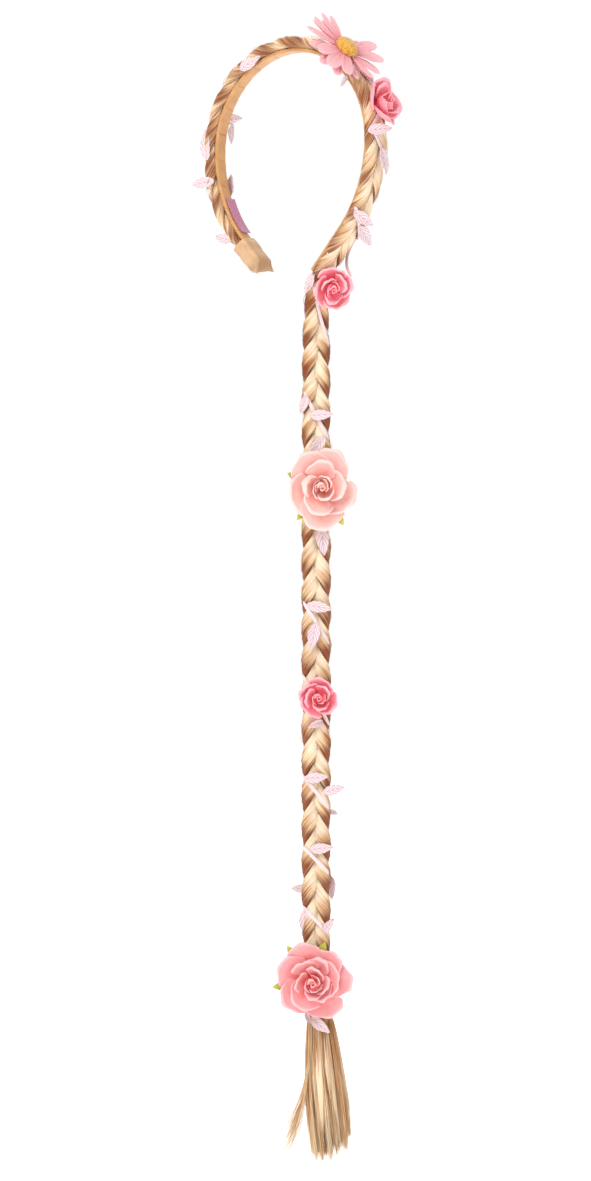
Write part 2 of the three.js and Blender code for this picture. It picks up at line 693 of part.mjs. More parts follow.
function daisyCentre({ radius, height }) {
  const foot = DAISY.rings[1].foot + PETAL_THICKNESS + SEAT_GAP;
  const profile = [new THREE.Vector2(0, foot)];
  for (let i = 0; i <= DOME_STEPS; i++) {
    const angle = Math.PI / 2 * i / DOME_STEPS;
    profile.push(new THREE.Vector2(radius * Math.cos(angle), foot + height * Math.sin(angle)));
  }
  return new THREE.LatheGeometry(profile, DOME_SIDES).rotateX(Math.PI / 2);
}

function addDaisy(group) {
  for (const ring of DAISY.rings) {
    const star = { root: DAISY.hub, halfWidth: DAISY.halfWidth, ...ring };
    addPiece(group, ring.name, starGeometry(star, PETAL_BLADE), daisyCloth);
  }
  addPiece(group, 'daisy_centre', daisyCentre(DAISY.centre), daisyFoam);
}

function addRose(group, name, { sepals, rings, bud }) {
  if (sepals) {
    addPiece(group, `${name}_sepals`, starGeometry(sepals, SEPAL_BLADE), sepalCloth);
  }
  for (const ring of rings) {
    addPiece(group, `${name}_${ring.name}`, petalRing(ring), roseCloth[name]);
  }
  addPiece(group, `${name}_bud`, budGeometry(bud), roseCloth[name]);
}

// Flowers: each is built facing +Z in a group that stands on the ribbon, over the braid's outer face
for (const { name, kind, along, drop, across, turned, tilted, stand } of FLOWERS) {
  const station = along ?? alongAt(drop);
  const frame = braidFrame(station);
  const { thick } = valuesAt(BRAID_SIZES, station);
  frame.out.applyAxisAngle(frame.onward, deg(turned));
  frame.across.applyAxisAngle(frame.onward, deg(turned));
  const group = new THREE.Group();
  const standOff = thick / 2 + STEM_CLEARANCE + STEM_THICKNESS / 2 + stand;
  group.position.copy(pointIn(frame, across, standOff));
  frame.out.applyAxisAngle(frame.across, deg(tilted));
  frame.onward.applyAxisAngle(frame.across, deg(tilted));
  group.quaternion.setFromRotationMatrix(
    new THREE.Matrix4().makeBasis(frame.across, frame.onward.clone().negate(), frame.out));
  if (kind === DAISY) {
    addDaisy(group);
  } else {
    addRose(group, name, kind);
  }
  headband.add(group);
}

// Tie: a flat ring round the braid's end and the tassel's head
function tieGeometry() {
  const { width, thick } = valuesAt(BRAID_SIZES, braidLength);
  const ring = (drop, grow) => {
    const frame = braidFrame(alongAt(drop));
    const points = [];
    for (let j = 0; j < TIE_SIDES; j++) {
      const angle = 2 * Math.PI * j / TIE_SIDES;
      const c = Math.cos(angle);
      const s = Math.sin(angle);
      const across = (width / 2 + grow) * Math.sign(c) * Math.abs(c) ** TIE_SQUARENESS;
      const out = (thick / 2 + grow) * Math.sign(s) * Math.abs(s) ** TIE_SQUARENESS;
      points.push(pointIn(frame, across, out));
    }
    return points;
  };
  const top = TAIL_DROP - TIE_HEIGHT / 2;
  const bottom = TAIL_DROP + TIE_HEIGHT / 2;
  const outside = TIE_CLEARANCE + TIE_WALL;
  const inner = [ring(bottom, TIE_CLEARANCE), ring(top, TIE_CLEARANCE)];
  return skin([...inner, ring(top, outside), ring(bottom, outside)], true);
}

addPiece(headband, 'braid_tie', tieGeometry(), thread);

// Tassel: locks of loose hair, each thickest below the tie and drawn to a tip, joined in one head
function lockGeometry({ from, fromOut, to, toOut, drop, width }) {
  const top = TAIL_DROP + SEAT_GAP;
  const rings = [];
  for (let i = 0; i <= TASSEL_RISES; i++) {
    const part = i / TASSEL_RISES;
    const swing = part ** LOCK_BEND;
    const frame = braidFrame(alongAt(THREE.MathUtils.lerp(top, drop, part)));
    const across = THREE.MathUtils.lerp(from, to, swing);
    const out = THREE.MathUtils.lerp(fromOut, toOut, swing);
    const half = width / 2 * Math.sin(Math.PI * THREE.MathUtils.lerp(LOCK_SWELL.from, LOCK_SWELL.to, part));
    const ring = [];
    for (let j = 0; j < LOCK_SIDES; j++) {
      const angle = 2 * Math.PI * j / LOCK_SIDES;
      const deep = half * LOCK_FLATNESS;
      ring.push(pointIn(frame, across + half * Math.cos(angle), out + deep * Math.sin(angle)));
    }
    rings.push(ring);
  }
  return skin(rings);
}

function tasselHead() {
  const { width, thick } = TASSEL_HEAD;
  const rings = [0, TIE_HEIGHT].map((below) => {
    const frame = braidFrame(alongAt(TAIL_DROP + SEAT_GAP + below));
    const ring = [];
    for (let j = 0; j < TIE_SIDES; j++) {
      const angle = 2 * Math.PI * j / TIE_SIDES;
      ring.push(pointIn(frame, width / 2 * Math.cos(angle), thick / 2 * Math.sin(angle)));
    }
    return ring;
  });
  return skin(rings);
}

addPiece(headband, 'tassel', joined([tasselHead(), ...LOCKS.map(lockGeometry)]), hair);

export default headband;
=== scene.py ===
import bpy
import numpy as np
from mathutils import Matrix


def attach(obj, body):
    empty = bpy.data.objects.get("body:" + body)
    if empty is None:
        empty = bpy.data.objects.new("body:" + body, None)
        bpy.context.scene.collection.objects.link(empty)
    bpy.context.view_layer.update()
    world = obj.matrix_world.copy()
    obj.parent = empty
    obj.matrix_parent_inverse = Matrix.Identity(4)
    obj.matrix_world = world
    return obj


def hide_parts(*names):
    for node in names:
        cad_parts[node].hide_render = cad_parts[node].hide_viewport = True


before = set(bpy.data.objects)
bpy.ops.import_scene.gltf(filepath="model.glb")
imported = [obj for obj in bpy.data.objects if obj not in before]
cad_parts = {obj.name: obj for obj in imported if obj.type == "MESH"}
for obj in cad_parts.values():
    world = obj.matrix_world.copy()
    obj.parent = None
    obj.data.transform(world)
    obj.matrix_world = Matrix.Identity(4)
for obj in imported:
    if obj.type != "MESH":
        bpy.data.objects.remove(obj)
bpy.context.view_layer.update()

# Hair band
# A springy plastic strip, wrapped on the slant in beige satin ribbon and bent to the shape of a head.
# The laps of the wrapping show as faint slanted lines, and the satin shines along the strip's edges.
CROWN_HALF_WIDTH = 59.5
CROWN_RISE = 58.0
ARM_RADIUS = 80.0
ARM_TURN = np.radians(42)
LEFT_STRAIGHT = 24.0
RIGHT_STRAIGHT = 34.0
BAND_WIDTH = 8.4
BAND_THICKNESS = 2.6
LINE_STEP = 0.25
MILLIMETRE = 0.001


def arm_point(side, out, past):
    """The end of the arm's arc, at angle ARM_TURN below the widest level, moved past it along its tangent."""
    reach = ARM_RADIUS + out
    x = reach * np.cos(ARM_TURN) - (ARM_RADIUS - CROWN_HALF_WIDTH) - past * np.sin(ARM_TURN)
    z = -CROWN_RISE - reach * np.sin(ARM_TURN) - past * np.cos(ARM_TURN)
    return np.array([side * x, z])


def straight(a, b):
    """Points from a to b at even steps."""
    count = int(np.linalg.norm(b - a) / LINE_STEP) + 2
    return a + (b - a) * np.linspace(0, 1, count)[:, None]


def arc(x, z, wide, high, start, end):
    """Points of an ellipse round (x, z) between two angles."""
    count = int(max(wide, high) * abs(end - start) / LINE_STEP) + 2
    angle = np.linspace(start, end, count)
    return np.column_stack([x + wide * np.cos(angle), z + high * np.sin(angle)])


def arch_line(out):
    """The arch in the XZ plane at a distance out from the band's inner face: the left straight, an arc of
    ARM_RADIUS, half an ellipse over the crown, and the right arm's arc."""
    over = ARM_RADIUS - CROWN_HALF_WIDTH
    return [
        straight(arm_point(-1, out, LEFT_STRAIGHT), arm_point(-1, out, 0)),
        arc(over, -CROWN_RISE, ARM_RADIUS + out, ARM_RADIUS + out, np.pi + ARM_TURN, np.pi),
        arc(0, -CROWN_RISE, CROWN_HALF_WIDTH + out, CROWN_RISE + out, np.pi, 0),
        arc(-over, -CROWN_RISE, ARM_RADIUS + out, ARM_RADIUS + out, 0, -ARM_TURN),
    ]


def stacked(*values):
    """Numbers or grids of numbers side by side on a new last axis."""
    return np.stack(np.broadcast_arrays(*values), -1)


def unit(vectors):
    """Vectors brought to length one."""
    return vectors / np.maximum(np.linalg.norm(vectors, axis=-1, keepdims=True), 1e-9)


class Line:
    """A line in the XZ plane that is asked for places and directions by distance along it."""

    def __init__(self, runs):
        points = np.vstack(runs)
        keep = np.r_[True, np.linalg.norm(np.diff(points, axis=0), axis=1) > 1e-6]
        self.points = points[keep]
        self.along = np.r_[0, np.cumsum(np.linalg.norm(np.diff(self.points, axis=0), axis=1))]
        self.heading = np.gradient(self.points, self.along, axis=0)
        self.length = self.along[-1]

    def frames(self, along):
        """Centre, onward, out and across at each distance; outside its ends the line runs straight on."""
        along = np.asarray(along, float)
        inside = np.clip(along, 0, self.length)
        x, z, hx, hz = (np.interp(inside, self.along, v) for v in (*self.points.T, *self.heading.T))
        onward = unit(stacked(hx, 0, hz))
        centre = stacked(x, 0, z) + onward * (along - inside)[..., None]
        return centre, onward, stacked(-onward[..., 2], 0, onward[..., 0]), stacked(0 * x, 1, 0)


def swept(frames, across, out):
    """Rings of points: each ring's centre plus its own offsets across and out, [ring, point]."""
    centre, _, outward, sideways = frames
    return centre[:, None] + across[..., None] * sideways[:, None] + out[..., None] * outward[:, None]


def rounded(turn, squareness):
    """Cosine and sine of a turn, each raised to a power below one, which squares a circle."""
    c, s = np.cos(turn), np.sin(turn)
    return np.sign(c) * np.abs(c) ** squareness, np.sign(s) * np.abs(s) ** squareness


def circle(sides):
    """Even turns round a circle, without the last, which is the first again."""
    return np.linspace(0, 2 * np.pi, sides, endpoint=False)


def tapered(along, end):
    """Nothing at both ends of a run of distances, and one from a length end inside them, as a root between."""
    return np.sqrt(np.clip(np.minimum(along - along[0], along[-1] - along) / end, 0, 1))


def add_object(name, data):
    """An object for a mesh, a light or a camera, put in the scene."""
    made = bpy.data.objects.new(name, data)
    bpy.context.scene.collection.objects.link(made)
    return made


def make_piece(name, grids, material, nodes=()):
    """One mesh from grids of points in millimetres. A grid is (points [..., ring, point, xyz], uv [..., ring,
    point, 2]), and leading axes hold many grids of one size. Quads join neighbours, each ring's last point to
    its first, and uv has one more column for that seam. A grid that encloses a negative volume, the sum of
    its quads' triple products, is turned round, so that its faces point outwards."""
    points, faces, corners, start = [], [], [], 0
    for grid, uv in grids:
        rings, count = grid.shape[-3:-1]
        flat = grid.reshape(-1, rings, count, 3)
        marks = np.broadcast_to(uv, (*grid.shape[:-3], *uv.shape[-3:])).reshape(len(flat), *uv.shape[-3:])
        i, j = np.meshgrid(np.arange(rings - 1), np.arange(count), indexing="ij")
        k = (j + 1) % count
        quad = np.stack([i * count + j, i * count + k, (i + 1) * count + k, (i + 1) * count + j], -1)
        around = np.stack([marks[:, i, j], marks[:, i, j + 1], marks[:, i + 1, j + 1], marks[:, i + 1, j]], -2)
        near = flat - flat.mean((1, 2), keepdims=True)
        a, b, c, d = near[:, i, j], near[:, i, k], near[:, i + 1, k], near[:, i + 1, j]
        inside_out = (a * (np.cross(b, c) + np.cross(c, d))).sum((1, 2, 3)) < 0
        quad = np.where(inside_out[:, None, None, None], quad[..., ::-1], quad)
        around = np.where(inside_out[:, None, None, None, None], around[..., ::-1, :], around)
        base = start + np.arange(len(flat)) * rings * count
        faces.append((quad + base[:, None, None, None]).reshape(-1, 4))
        corners.append(around.reshape(-1, 2))
        points.append(flat.reshape(-1, 3))
        start += len(flat) * rings * count
    points, faces, corners = np.concatenate(points), np.concatenate(faces), np.concatenate(corners)
    mesh = bpy.data.meshes.new(name)
    mesh.vertices.add(len(points))
    mesh.vertices.foreach_set("co", (points * MILLIMETRE).astype(np.float32).ravel())
    mesh.loops.add(len(faces) * 4)
    mesh.loops.foreach_set("vertex_index", faces.astype(np.int32).ravel())
    mesh.polygons.add(len(faces))
    mesh.polygons.foreach_set("loop_start", np.arange(0, len(faces) * 4, 4, dtype=np.int32))
    mesh.uv_layers.new(name="UVMap").data.foreach_set("uv", corners.astype(np.float32).ravel())
    mesh.polygons.foreach_set("use_smooth", np.ones(len(faces), bool))
    mesh.update(calc_edges=True)
    mesh.validate()
    mesh.materials.append(material)
    made = add_object(name, mesh)
    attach(made, "root")
    if nodes:
        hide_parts(*nodes)
    return made


def ring_uv(along, around):
    """UV of a looped grid: distance round each ring, and distance along."""
    return stacked(around[None, :], along[:, None])


def new_material(name, values):
    """A material with one Principled shader, whose plain values are set on its own sockets."""
    made = bpy.data.materials.new(name)
    made.use_nodes = True
    shader = made.node_tree.nodes["Principled BSDF"]
    for socket, value in values.items():
        shader.inputs[socket].default_value = value
    return made, made.node_tree, shader


def add_node(tree, kind, inputs, **settings):
    """A shader node; an input that is a socket is linked, and any other value is set."""
    node = tree.nodes.new(kind)
    for key, value in settings.items():
        setattr(node, key, value)
    for key, value in inputs.items():
        if isinstance(value, bpy.types.NodeSocket):
            tree.links.new(value, node.inputs[key])
        else:
            node.inputs[key].default_value = value
    return node


def grouped(tree, group, inputs):
    """The result of a node group, placed in a material with its own values."""
    return add_node(tree, "ShaderNodeGroup", inputs, node_tree=group).outputs[0]


def axes_of(tree, vector):
    """A vector's three numbers, as sockets X, Y and Z."""
    return add_node(tree, "ShaderNodeSeparateXYZ", {"Vector": vector}).outputs


def sums(tree, operation, *values):
    """A Math node on sockets or numbers."""
    return add_node(tree, "ShaderNodeMath", dict(enumerate(values)), operation=operation).outputs[0]


def spread(tree, value, low, high, first=0.0, last=1.0):
    """A value that goes from low to high, made to go from first to last and held at both."""
    return add_node(tree, "ShaderNodeMapRange", {
        "Value": value, "From Min": low, "From Max": high, "To Min": first, "To Max": last}).outputs[0]


def mixed(tree, share, first, second):
    """The first colour, changed to the second by a share."""
    return add_node(tree, "ShaderNodeMix", {0: share, 6: first, 7: second}, data_type="RGBA").outputs[2]


def tone(red, green, blue):
    """A colour given as the screen shows it, 0 to 255, as linear light."""
    c = np.array([red, green, blue]) / 255
    return (*np.where(c <= 0.04045, c / 12.92, ((c + 0.055) / 1.055) ** 2.4), 1.0)


def new_group(name, inputs, outputs):
    """An empty shader node group with named sockets, and the sockets at its inner ends."""
    group = bpy.data.node_groups.new(name, "ShaderNodeTree")
    for sockets, way in ((inputs, "INPUT"), (outputs, "OUTPUT")):
        for socket, kind in sockets.items():
            group.interface.new_socket(socket, in_out=way, socket_type=f"NodeSocket{kind}")
    return group, group.nodes.new("NodeGroupInput").outputs, group.nodes.new("NodeGroupOutput").inputs


def stretched_noise_group():
    """Noise on coordinates scaled by three factors, so that it draws out into threads or streaks."""
    group, given, result = new_group(
        "stretched_noise", {"Place": "Vector", "Stretch": "Vector", "Detail": "Float"}, {"Noise": "Float"})
    scaled = add_node(group, "ShaderNodeVectorMath", {0: given["Place"], 1: given["Stretch"]}, operation="MULTIPLY")
    noise = add_node(group, "ShaderNodeTexNoise", {
        "Vector": scaled.outputs[0], "Scale": 1.0, "Detail": given["Detail"]})
    group.links.new(noise.outputs["Fac"], result["Noise"])
    return group


def satin_shade_group():
    """Satin's colour: a slow change between two shades, and a darker line at each lap of a ribbon that is wound
    on the slant. Laps and Rounds are how much of a lap goes along, and how much of a round about, in 1 mm."""
    group, given, result = new_group("satin_shade", {
        "Place": "Vector", "Clouds": "Float", "Base": "Color", "Light": "Color", "Line": "Color",
        "Laps": "Float", "Rounds": "Float"}, {"Shade": "Color"})
    shade = mixed(group, spread(group, given["Clouds"], 0.3, 0.72), given["Base"], given["Light"])
    parts = axes_of(group, given["Place"])
    about = sums(group, "MULTIPLY", parts["X"], given["Rounds"])
    laps = sums(group, "MULTIPLY_ADD", parts["Y"], given["Laps"], about)
    line = spread(group, sums(group, "PINGPONG", laps, 1.0), 0.0, 0.07, 0.34, 0.0)
    group.links.new(mixed(group, line, shade, given["Line"]), result["Shade"])
    return group


STRETCHED_NOISE = stretched_noise_group()
SATIN_SHADE = satin_shade_group()


def stretched_noise(tree, place, stretch, detail):
    """The stretched noise group, placed in a material with its own values."""
    return grouped(tree, STRETCHED_NOISE, {"Place": place, "Stretch": stretch, "Detail": detail})


def coordinates(tree, kind):
    """The surface's own UV, or its place in the part's frame."""
    return add_node(tree, "ShaderNodeTexCoord", {}).outputs[kind]


def finish_surface(tree, shader, shade, height, bump, depth, rough):
    """Colour into the shader, a bump from a height of the given depth in metres, and a roughness that goes from
    one end of its range to the other with the same height."""
    tree.links.new(shade, shader.inputs["Base Color"])
    tree.links.new(spread(tree, height, 0.3, 0.7, *rough), shader.inputs["Roughness"])
    raised = add_node(tree, "ShaderNodeBump", {"Height": height, "Strength": bump, "Distance": depth})
    tree.links.new(raised.outputs["Normal"], shader.inputs["Normal"])


def satin_material(name, base, light, rough, lap, about):
    """Satin with threads along the ribbon, laps of a given pitch round a strip of a given girth, and sheen."""
    made, tree, shader = new_material(name, {
        "Sheen Weight": 0.35, "Sheen Roughness": 0.35, "Anisotropic": 0.45, "IOR": 1.47})
    uv = coordinates(tree, "UV")
    threads = stretched_noise(tree, uv, (0.35, 7.0, 1.0), 2.0)
    clouds = stretched_noise(tree, uv, (0.16, 0.09, 1.0), 2.0)
    shade = grouped(tree, SATIN_SHADE, {
        "Place": uv, "Clouds": clouds, "Base": base, "Light": light, "Line": tone(120, 74, 40),
        "Laps": 1 / lap, "Rounds": 1 / about})
    finish_surface(tree, shader, shade, threads, 0.18, 0.0003, rough)
    return made


def band_piece():
    """A rounded rectangle swept along the band's middle line, drawn to a point at both ends. Each lap of the
    ribbon, a helix of pitch LAP, is thickest at its free edge and thins to nothing under the next."""
    LAP, LAP_RISE, LAP_EDGE, STATIONS, SIDES, SQUARENESS, END = 8.5, 0.2, 12, 520, 40, 0.32, 1.2
    ABOUT = 2 * (BAND_WIDTH + BAND_THICKNESS)
    middle = BAND_THICKNESS / 2
    line = Line([*arch_line(middle), straight(arm_point(1, middle, 0), arm_point(1, middle, RIGHT_STRAIGHT))])
    along = np.linspace(0, line.length, STATIONS)
    turn = circle(SIDES)
    c, s = rounded(turn, SQUARENESS)
    lap = (along[:, None] / LAP + turn[None] / (2 * np.pi)) % 1
    rise = LAP_RISE * (lap - 1) * np.clip((1 - lap) * LAP_EDGE, 0, 1)
    close = tapered(along, END)[:, None]
    across = close * (BAND_WIDTH / 2 * c + rise * np.cos(turn))
    out = close * (BAND_THICKNESS / 2 * s + rise * np.sin(turn))
    grid = swept(line.frames(along), across, out)
    satin = satin_material("band_satin", tone(198, 143, 90), tone(216, 165, 112), (0.36, 0.5), LAP, ABOUT)
    make_piece("satin_band", [(grid, ring_uv(along, np.linspace(0, ABOUT, SIDES + 1)))], satin, ["band"])


band_piece()

# Braid
# Three bundles of glossy blond synthetic hair, plaited flat. The plait is glued along the band's outer face from
# the sleeve at its left end, leaves it at the right end and hangs straight down, turned to face the front.
SEAT_GAP = 0.4
BAND_BRAID_THICKNESS = 7.5
BRAID_OUT = BAND_THICKNESS + SEAT_GAP + BAND_BRAID_THICKNESS / 2
BEND_PAST_ARM = 23.0
BEND_RADIUS = 40.0
TAIL_DROP = 597.0
TAIL_TURN = np.radians(50)
TAIL_TURN_DELAY = 14.0
TAIL_TURN_LENGTH = 55.0
BAND_WEAVE_PITCH = 72.0
TAIL_WEAVE_PITCH = 61.5
BRAID_START = 4.0
BRAID_ALONG = np.array([0, 23, 36, 190, 290, 378, 430, 560, 790, 846])
BRAID_WIDTH = np.array([8, 9.2, 15, 15.5, 17.4, 16.6, 15.5, 16.4, 16.2, 14])
BRAID_THICK = np.array([4.2, 5.2, 7.5, 7.5, 7.5, 7.5, 9.4, 9.4, 9.2, 7.4])
STRAND_HALF = 0.2
draws = np.random.default_rng(7)

arch = arch_line(BRAID_OUT)
bend_start = arm_point(1, BRAID_OUT, BEND_PAST_ARM)
bend_x = bend_start[0] + BEND_RADIUS * np.cos(ARM_TURN)
bend_z = bend_start[1] - BEND_RADIUS * np.sin(ARM_TURN)
braid_line = Line([
    *arch, straight(arm_point(1, BRAID_OUT, 0), bend_start),
    arc(bend_x, bend_z, BEND_RADIUS, BEND_RADIUS, np.pi - ARM_TURN, np.pi),
    straight(np.array([bend_x - BEND_RADIUS, bend_z]), np.array([bend_x - BEND_RADIUS, -TAIL_DROP]))])
bend_along = Line(arch).length + BEND_PAST_ARM


def along_at(drop):
    """Distance along the braid at a drop below the crown, on the straight tail."""
    return braid_line.length - (TAIL_DROP - np.asarray(drop, float))


def braid_frames(along):
    """The line's frames, turned about it towards the front by a smooth step past the band's end."""
    centre, onward, out, across = braid_line.frames(along)
    part = np.clip((np.asarray(along, float) - bend_along - TAIL_TURN_DELAY) / TAIL_TURN_LENGTH, 0, 1)
    angle = (TAIL_TURN * part * part * (3 - 2 * part))[..., None]
    return (centre, onward, out * np.cos(angle) - across * np.sin(angle),
            across * np.cos(angle) + out * np.sin(angle))


def braid_size(along):
    """Width and thickness of the braid, in straight lines between the table's rows."""
    return np.interp(along, BRAID_ALONG, BRAID_WIDTH), np.interp(along, BRAID_ALONG, BRAID_THICK)


def weave_phase(along, strand):
    """Whole turns of the weave since the bend, one third of a turn apart for the strands."""
    from_bend = np.asarray(along, float) - bend_along
    turns = np.minimum(from_bend, 0) / BAND_WEAVE_PITCH + np.maximum(from_bend, 0) / TAIL_WEAVE_PITCH
    return 2 * np.pi * (turns + strand / 3)


def on_band(along):
    """One along the band and nothing on the tail, with an even change at the bend."""
    CHANGE = 20
    return np.clip((bend_along - along) / CHANGE + 0.5, 0, 1)


def strand_surface(along, strand, place, lift):
    """Points on a strand, and how far each is into its lobe. Every fibre follows one figure of eight, a rounded
    zigzag across and the sine of twice the phase out, and its phase runs ahead of or behind the strand's by
    its place in it, -1 to 1. At the middle of the braid the leading side dips under; at its edge each lobe
    swells and then draws in. On the band the hair is pressed a little towards it. Points are lifted off this
    sheet along its normal."""
    SWING, RISE, DIP, LAG, ROUNDING, SCALLOP = 0.42, 0.29, 0.16, np.radians(63), 0.955, 0.075
    SCALLOP_AT, PRESSED, SHADE_LAG, STEP = np.radians(72), 0.6, 0.35, 0.02

    def sheet(along, place):
        width, thick = braid_size(along)
        strand_phase = weave_phase(along, strand)
        phase = strand_phase + LAG * place
        swing = SWING * (1 + SCALLOP * np.cos(2 * (strand_phase - SCALLOP_AT)))
        across = swing * width * np.arcsin(ROUNDING * np.sin(phase)) / np.arcsin(ROUNDING)
        out = thick * (RISE * np.sin(2 * phase) - DIP * place * np.cos(phase) ** 2)
        out = out - PRESSED * on_band(along)
        centre, _, outward, sideways = braid_frames(along)
        points = centre + across[..., None] * sideways + out[..., None] * outward
        return points, strand_phase + SHADE_LAG * LAG * place

    along, place, lift = np.broadcast_arrays(along, place, lift)
    points, phase = sheet(along, place)
    normal = unit(np.cross(sheet(along, place + STEP)[0] - sheet(along, place - STEP)[0],
                           sheet(along + STEP, place)[0] - sheet(along - STEP, place)[0]))
    return points + lift[..., None] * normal, phase


def hair_shade_group():
    """Hair's colour: streaks from dark to light along the fibres, a painted highlight where a lobe comes to the
    front, painted brown shade with a feathered edge where it turns away, and painted dark shade in the crease along
    its sides."""
    group, given, result = new_group("hair_shade", {
        "Streak": "Float", "End": "Float", "Side": "Float", "Dark": "Color", "Light": "Color",
        "Bright": "Color", "Painted_shade": "Color", "Painted_crease_shade": "Color"}, {"Shade": "Color"})
    streaks = mixed(group, spread(group, given["Streak"], 0.36, 0.66), given["Dark"], given["Light"])
    ragged = sums(group, "ADD", given["End"], sums(group, "MULTIPLY_ADD", given["Streak"], -1.1, 0.55))
    # Painted highlight where the lobe comes to the front.
    highlighted = mixed(group, spread(group, ragged, 0.1, 0.45, 0.6, 0.0), streaks, given["Bright"])
    # Painted shade where the lobe turns away.
    turned = mixed(group, spread(group, ragged, 0.5, 0.9, 0.0, 0.9), highlighted, given["Painted_shade"])
    # Painted crease shade along the strand's sides.
    group.links.new(mixed(group, given["Side"], turned, given["Painted_crease_shade"]), result["Shade"])
    return group


HAIR_SHADE = hair_shade_group()


def mean_of(tree, first, second):
    """Half of each of two values."""
    return sums(tree, "MULTIPLY_ADD", first, 0.5, sums(tree, "MULTIPLY", second, 0.5))


def hair_material(name, tones):
    """Synthetic hair: broad and fine streaks along the fibres, with painted highlight and painted shade set by each
    point's own place in its lobe, and a silky highlight that lies across the fibres."""
    made, tree, shader = new_material(name, {"Anisotropic": 0.55, "IOR": 1.48, "Specular IOR Level": 0.3})
    uv = coordinates(tree, "UV")
    broad = stretched_noise(tree, uv, (0.7, 0.03, 1.0), 2.0)
    fine = stretched_noise(tree, uv, (4.0, 0.05, 1.0), 3.0)
    streak = mean_of(tree, broad, fine)
    # Shares of painted shade and painted crease shade, kept on the points.
    end, side = (add_node(tree, "ShaderNodeAttribute", {}, attribute_name=kept).outputs["Fac"]
                 for kept in ("painted_shade_share", "painted_crease_share"))
    shade = grouped(tree, HAIR_SHADE, {"Streak": streak, "End": end, "Side": side, **tones})
    finish_surface(tree, shader, shade, fine, 0.5, 0.0004, (0.3, 0.44))
    tangent = add_node(tree, "ShaderNodeTangent", {}, direction_type="UV_MAP", uv_map="UVMap")
    tree.links.new(tangent.outputs["Tangent"], shader.inputs["Tangent"])
    return made


def painted_shade_share(along, phase):
    """The share of painted shade: one at the lower outer end of a lobe, where the strand turns round the braid's
    edge, and nothing half a lobe away, where it comes to the front and a highlight is painted; weaker on the band,
    where the lobes are drawn out."""
    LOWEST, WEAKER = np.radians(103), 0.18
    return (0.5 + 0.5 * np.cos(2 * (phase - LOWEST))) * (1 - WEAKER * on_band(along))


def keep_value(piece, name, values):
    """Keeps one number per point as an attribute of the piece."""
    made = piece.data.attributes.new(name, "FLOAT", "POINT")
    made.data.foreach_set("value", np.ascontiguousarray(values, np.float32).ravel())


# Dark and Light are the streaks' own tones; the other three are painted highlight, painted shade and painted crease
# shade.
braid_hair = hair_material("blond_hair", {
    "Dark": tone(166, 90, 24), "Light": tone(252, 226, 182), "Bright": tone(255, 240, 214),
    "Painted_shade": tone(124, 52, 2), "Painted_crease_shade": tone(102, 44, 6)})


def strand_piece(strand):
    """A flat bundle round the strand's sheet: its section is an oval, drawn to a point at both ends, and waves of
    random height that drift slowly across it are the locks of the bundle."""
    STATIONS, SIDES, RIDGE, FULLNESS, ABOUT, APART = 1000, 52, 0.17, 0.75, 18.1, 40.0
    WAVES, DRIFT, END = np.array([5, 9, 14, 20]), 0.03, 1.0
    CREASE_FROM, CREASE_OVER, CREASE_SHADE = 0.91, 0.08, 0.75
    along = np.linspace(BRAID_START, braid_line.length, STATIONS)[:, None]
    turn = circle(SIDES)[None]
    start = draws.uniform(0, 2 * np.pi, len(WAVES))
    drift = draws.uniform(-DRIFT, DRIFT, len(WAVES))
    locks = np.sin(WAVES * turn[..., None] + start + drift * along[..., None]).sum(-1) * RIDGE / 2
    close = tapered(along, END)
    rim = np.sign(np.sin(turn)) * np.abs(np.sin(turn)) ** FULLNESS
    lift = close * rim * (STRAND_HALF * braid_size(along)[1] + locks)
    grid, phase = strand_surface(along, strand, close * np.cos(turn), lift)
    around = np.linspace(0, ABOUT, SIDES + 1) + APART * strand
    made = make_piece(f"hair_strand_{strand + 1}", [(grid, ring_uv(along[:, 0], around))], braid_hair,
                      [f"band_strand_{strand + 1}", f"tail_strand_{strand + 1}"])
    # Painted shade where each lobe turns away, and painted highlight where it comes to the front.
    keep_value(made, "painted_shade_share", painted_shade_share(along, phase))
    # Painted crease shade on the edges of the strand's section, where it lies against its neighbours.
    side = np.clip((np.abs(np.cos(turn)) - CREASE_FROM) / CREASE_OVER, 0, 1) + 0 * along
    keep_value(made, "painted_crease_share", CREASE_SHADE * side)


for strand in range(3):
    strand_piece(strand)


def fibre_tubes(paths, radius):
    """Three-sided tubes round paths [fibre, point, xyz], closed at both tips. The sides stand square to each path,
    set out from a direction that no fibre follows."""
    SIDES, AWAY, FULLNESS = 3, np.array([0.31, 0.85, 0.42]), 0.3
    heading = unit(np.gradient(paths, axis=1))
    side = unit(np.cross(heading, AWAY))
    other = np.cross(heading, side)
    turn = circle(SIDES)
    thick = radius * (np.sin(np.pi * np.linspace(0, 1, paths.shape[1])) ** FULLNESS)[None, :, None, None]
    return paths[:, :, None] + thick * (
        np.cos(turn)[:, None] * side[:, :, None] + np.sin(turn)[:, None] * other[:, :, None])


def braid_core():
    """The hair that shows in the gaps between the strands: a flat oval along the braid's line, inside them."""
    STATIONS, SIDES, WIDE, DEEP, INSET, END, ABOUT = 500, 24, 0.34, 0.2, 4, 1.0, 20
    along = np.linspace(BRAID_START + INSET, braid_line.length - INSET, STATIONS)
    turn = circle(SIDES)
    close = tapered(along, END)
    width, thick = braid_size(along)
    grid = swept(braid_frames(along), (close * WIDE * width)[:, None] * np.cos(turn),
                 (close * DEEP * thick)[:, None] * np.sin(turn))
    return grid, ring_uv(along, np.linspace(0, ABOUT, SIDES + 1))


